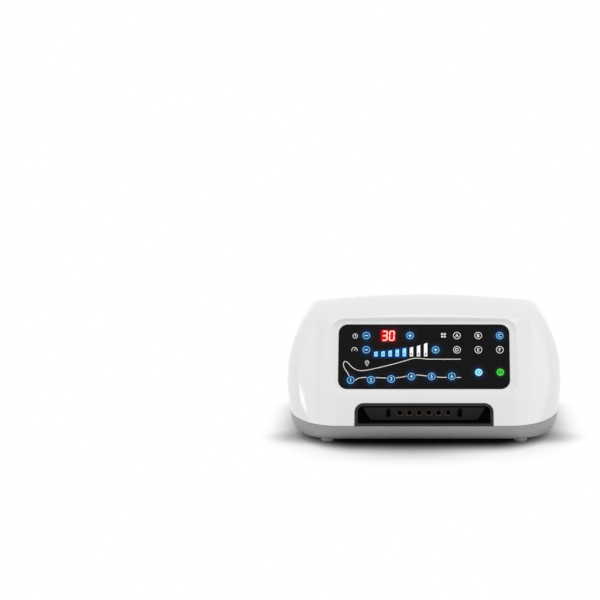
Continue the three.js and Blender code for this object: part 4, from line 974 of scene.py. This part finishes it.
leg = Prints()
leg_line, leg_clearance = 0.66, 0.03
upper_leg = smooth_line([(36.5, 69.6), (18, 69.6), (4, 69.7), (-4.0, 70.4), (-10.5, 70.4), (-20, 67.6),
                         (-32, 64.2), (-46, 60.7), (-57, 58.3), (-65.5, 58.2), (-71.5, 61.6), (-75.4, 65.8),
                         (-78.4, 67.3), (-80.0, 65.0), (-79.2, 61.0), (-76.4, 56.6), (-73.4, 51.2)])
lower_leg = smooth_line([(-70.6, 46.6), (-68.5, 47.3), (-66.2, 49.4), (-62.5, 50.6), (-52.5, 50.9),
                         (-40, 50.4), (-32, 50.3), (-22, 51.2), (-12, 53.5), (-4, 53.2), (8, 51.7),
                         (20, 50.9), (36.5, 50.8)])
for line in (upper_leg, lower_leg):
    away = np.min([np.linalg.norm(line - at, axis=1) for at in key_at.values()], axis=0)
    clear = away > key_hole / 2 + leg_clearance
    for run in np.split(np.arange(len(line)), np.flatnonzero(np.diff(clear)) + 1):
        if clear[run[0]] and len(run) > 2:
            leg.band(line[run], leg_line)
leg_print = leg.piece("leg_outline", on_cover, white_print)

signs = Prints()
sign_line, dot = 0.55, 1.35
clock, gauge, pin, grid = (-68.6, 93.6), (-69.2, 79.0), (-56.6, 66.4), (19.4, 94.3)
signs.band(circle_line(2.3, clock, 40), sign_line, closed=True)
signs.band([(clock[0], clock[1] + 1.5), clock, (clock[0] + 1.2, clock[1] - 0.3)], sign_line)
signs.band(arc(2.7, -25, 205, 30, gauge), sign_line)
signs.band([(gauge[0] - 0.3, gauge[1] - 0.3), (gauge[0] + 1.25, gauge[1] + 1.35)], sign_line)
signs.plate(disc_outline(1.0, gauge, 20))
signs.band(np.concatenate([arc(1.75, -28, 208, 28, pin), [(pin[0], pin[1] - 3.4)]]), sign_line, closed=True)
signs.plate(disc_outline(1.2, pin, 20))
for x in (grid[0] - dot, grid[0] + dot):
    for y in (grid[1] - dot, grid[1] + dot):
        signs.plate(block_outline(1.9, y - 0.95, y + 0.95, 0.3, 3, x))
sign_print = signs.piece("panel_signs", on_cover, white_print)
for piece, slot in ((bar_windows, "clear_guide"), (digit_windows, "red_lens"), (leg_print, "black_gloss"),
                    (sign_print, "black_gloss")):
    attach(piece, "console")


# ----------------------------------------
# Keys. Eighteen round caps flush with the cover, each on a stem over its switch. A ring and a mark are
# printed on top; the chosen ones glow blue, power is a light blue disc, and start and pause a green one.
def key_cap(name, fill):
    """Black gloss cap, with light inside its ring that is stronger towards the middle."""
    def light(tree, place):
        away = vector(tree, "LENGTH", place)
        return scaled(tree, fill, ramp(tree, away, 0.5 * mm, 5.6 * mm, 1.0, 0.35))

    return moulded(name, panel_colour, 0.12, grain=420, bump=0.0, patch=90, tone=0.3, spread=0.1,
                   specular=0.09, light=light)


def letter_mesh(sign, size, boldness):
    """A plain sign as a thin solid in the built-in type, and the move that centres it."""
    curve = bpy.data.curves.new("sign", "FONT")
    curve.body = sign
    curve.size = size * mm
    curve.extrude = 0.03 * mm
    curve.offset = boldness * mm
    curve.resolution_u = 4
    holder = add_object("sign", curve)
    bpy.context.view_layer.update()
    mesh = bpy.data.meshes.new_from_object(holder.evaluated_get(bpy.context.evaluated_depsgraph_get()))
    bpy.data.objects.remove(holder)
    points = np.array([vertex.co for vertex in mesh.vertices]) / mm
    return mesh, -(points.min(0) + points.max(0)) / 2


dark_cap = key_cap("key_cap_dark", (0.0, 0.0, 0.0))
blue_cap = key_cap("key_cap_blue", (0.0, 0.055, 0.20))
power_cap = key_cap("key_cap_light_blue", (0.0, 0.05, 0.16))
start_cap = key_cap("key_cap_green", (0.0, 0.07, 0.001))
cap_profile = fillet([(0, -4.6), (2, -4.6), (2, -1.5), (4.3, -1.5), (4.3, 0), (0, 0)],
                     [0, 0.3, 0, 0.2, 0.22, 0], 4, closed=False)
letter_size, sign_foot, sign_height, disc_height = 4.9, 0.03, 0.06, 0.04
arm, half = 1.7, 0.55
plus = fillet([(-arm, -half), (-half, -half), (-half, -arm), (half, -arm), (half, -half), (arm, -half),
               (arm, half), (half, half), (half, arm), (-half, arm), (-half, half), (-arm, half)], 0.12, 2)
for name, at in key_at.items():
    cap = lathe(name + "_cap", cap_profile, 72)
    marks = Prints()
    marks.merge(cap.data, 0)
    bpy.data.objects.remove(cap)
    if name == "power":
        materials = power_cap, cyan_light, dark_mark
        marks.plate(disc_outline(7.4, sides=64), 1, high=disc_height)
        marks.band(arc(1.75, 130, 410, 40), 0.75, 2, low=sign_foot, high=sign_height)
        marks.band([(0, 0.6), (0, 2.2)], 0.7, 2, low=sign_foot, high=sign_height)
    elif name == "start_pause":
        materials = start_cap, green_light, dark_green_mark, green_rim_light
        marks.plate(disc_outline(7.3, sides=64), 1, high=disc_height)
        marks.band(circle_line(3.25), 0.8, 3, closed=True, low=sign_foot, high=0.05)
        marks.plate(fillet([(-2.1, -1.2), (-0.1, 0), (-2.1, 1.2)], 0.15, 3), 2, sign_foot, sign_height)
        for x in (0.75, 1.85):
            marks.plate(block_outline(0.6, -1.25, 1.25, 0.15, 3, x), 2, sign_foot, sign_height)
    else:
        lit = name in blue_keys
        materials = (blue_cap, blue_light, blue_sign_light) if lit else (dark_cap, pale_light, pale_light)
        ring, ring_width, boldness = (3.38, 0.66, 0.13) if lit else (3.45, 0.5, 0.05)
        marks.band(circle_line(ring), ring_width, 1, closed=True)
        if name.endswith("minus"):
            marks.plate(block_outline(3.5, -half, half, 0.3, 3), 2)
        elif name.endswith("plus"):
            marks.plate(plus, 2)
        else:
            letter, centred = letter_mesh(name[-1].upper(), letter_size, boldness)
            marks.merge(letter, 2, (centred[0], centred[1], 0.02))
    key = settle(marks.piece(name + "_cap", face_frame @ at_mm(*at, -recess_depth), *materials), 30)
    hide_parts(name + "_key")
    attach(key, name + "_button")

# ----------------------------------------
# Mains entry. A black thermoplastic moulding clipped into the rear pocket: an appliance inlet with
# three plated pins, a fuse drawer under it, and the opening of the rocker switch beside it.
socket_x, socket_y, pin_pitch, rocker_x = -9, 3.4, 7, 15
moulding = prism("mains_moulding", block_outline(56, -15.5, 15.5, 3), -2, 0, entry_frame)
shape_with(moulding, [prism("body", block_outline(49.4, -13.5, 13.5, 1), -24, -1, entry_frame)], "UNION")
socket_shape = fillet([(-12, -8.3), (12, -8.3), (12, 4.3), (8, 8.3), (-8, 8.3), (-12, 4.3)],
                      [1.2, 1.2, 0.8, 0.8, 0.8, 0.8], 5) + (socket_x, socket_y)
shape_with(moulding, [
    prism("socket", socket_shape, -17, 3, entry_frame),
    prism("rocker_hole", block_outline(13, -9.6, 9.6, 0.6, 4, rocker_x), -10.6, 3, entry_frame),
    prism("drawer_hole", block_outline(20.6, -12.2, -6.6, 0.4, 3, socket_x), -16.3, 3, entry_frame)])
settle(break_edges(flatten_faces(moulding), 0.4, 3))
black_pbt = moulded("black_pbt", (0.016, 0.016, 0.017), 0.38, grain=2000, depth=0.012, bump=0.25, tone=0.15)
paint(moulding, black_pbt)
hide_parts("mains_entry")
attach(moulding, "console")
nickel = metal("nickel_plate", (0.70, 0.68, 0.64), 0.22, 400, (1, 0.1, 1), 0.15, 0.004)
for i, y in enumerate((1.4, 5.4, 1.4)):
    pin_shape = block_outline(2, y - 2, y + 2, 0.4, 3, socket_x + (i - 1) * pin_pitch)
    pin = prism(f"inlet_pin_{i + 1}", pin_shape, -17.5, -5, entry_frame)
    paint(settle(break_edges(flatten_faces(pin), 0.35, 3)), nickel)
    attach(pin, "console")
break_edges(paint(nodes["fuse_drawer"], black_pbt), 0.35, 3)

# ----------------------------------------
# Rocker switch. A black gloss rocker on a pivot in the mains entry. It stands at on, 9 degrees over,
# and its two flanks, which fall away from the middle, carry the plain on and off signs.
rocker_tilt, pivot_depth, sign_at = math.radians(9), 1.6, 5.2
flank_top, flank_end, flank_length = 3.4, 2.2, 9
slope = math.atan2(flank_top - flank_end, flank_length)
black_gloss_pbt = moulded("black_gloss_pbt", (0.014, 0.014, 0.015), 0.22, grain=1800, depth=0.006, bump=0.15)
break_edges(paint(nodes["rocker_switch"], black_gloss_pbt), 0.6, 3)
rocker_frame = (at_mm(entry_x - rocker_x, rear_y - entry_depth - pivot_depth, entry_z)
                @ Matrix.Rotation(rocker_tilt, 4, "X") @ entry_frame.to_3x3().to_4x4())
for name, side in (("rocker_sign_on", 1), ("rocker_sign_off", -1)):
    sign = Prints()
    if side > 0:
        sign.plate(block_outline(0.8, -1.7, 1.7, 0.2, 3))
    else:
        sign.band(circle_line(1.5, steps=40), 0.7, closed=True)
    on_flank = at_mm(0, side * sign_at, flank_top - sign_at * math.tan(slope))
    mark = sign.piece(name, rocker_frame @ on_flank @ Matrix.Rotation(-side * slope, 4, "X"), white_print)
    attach(mark, "rocker")
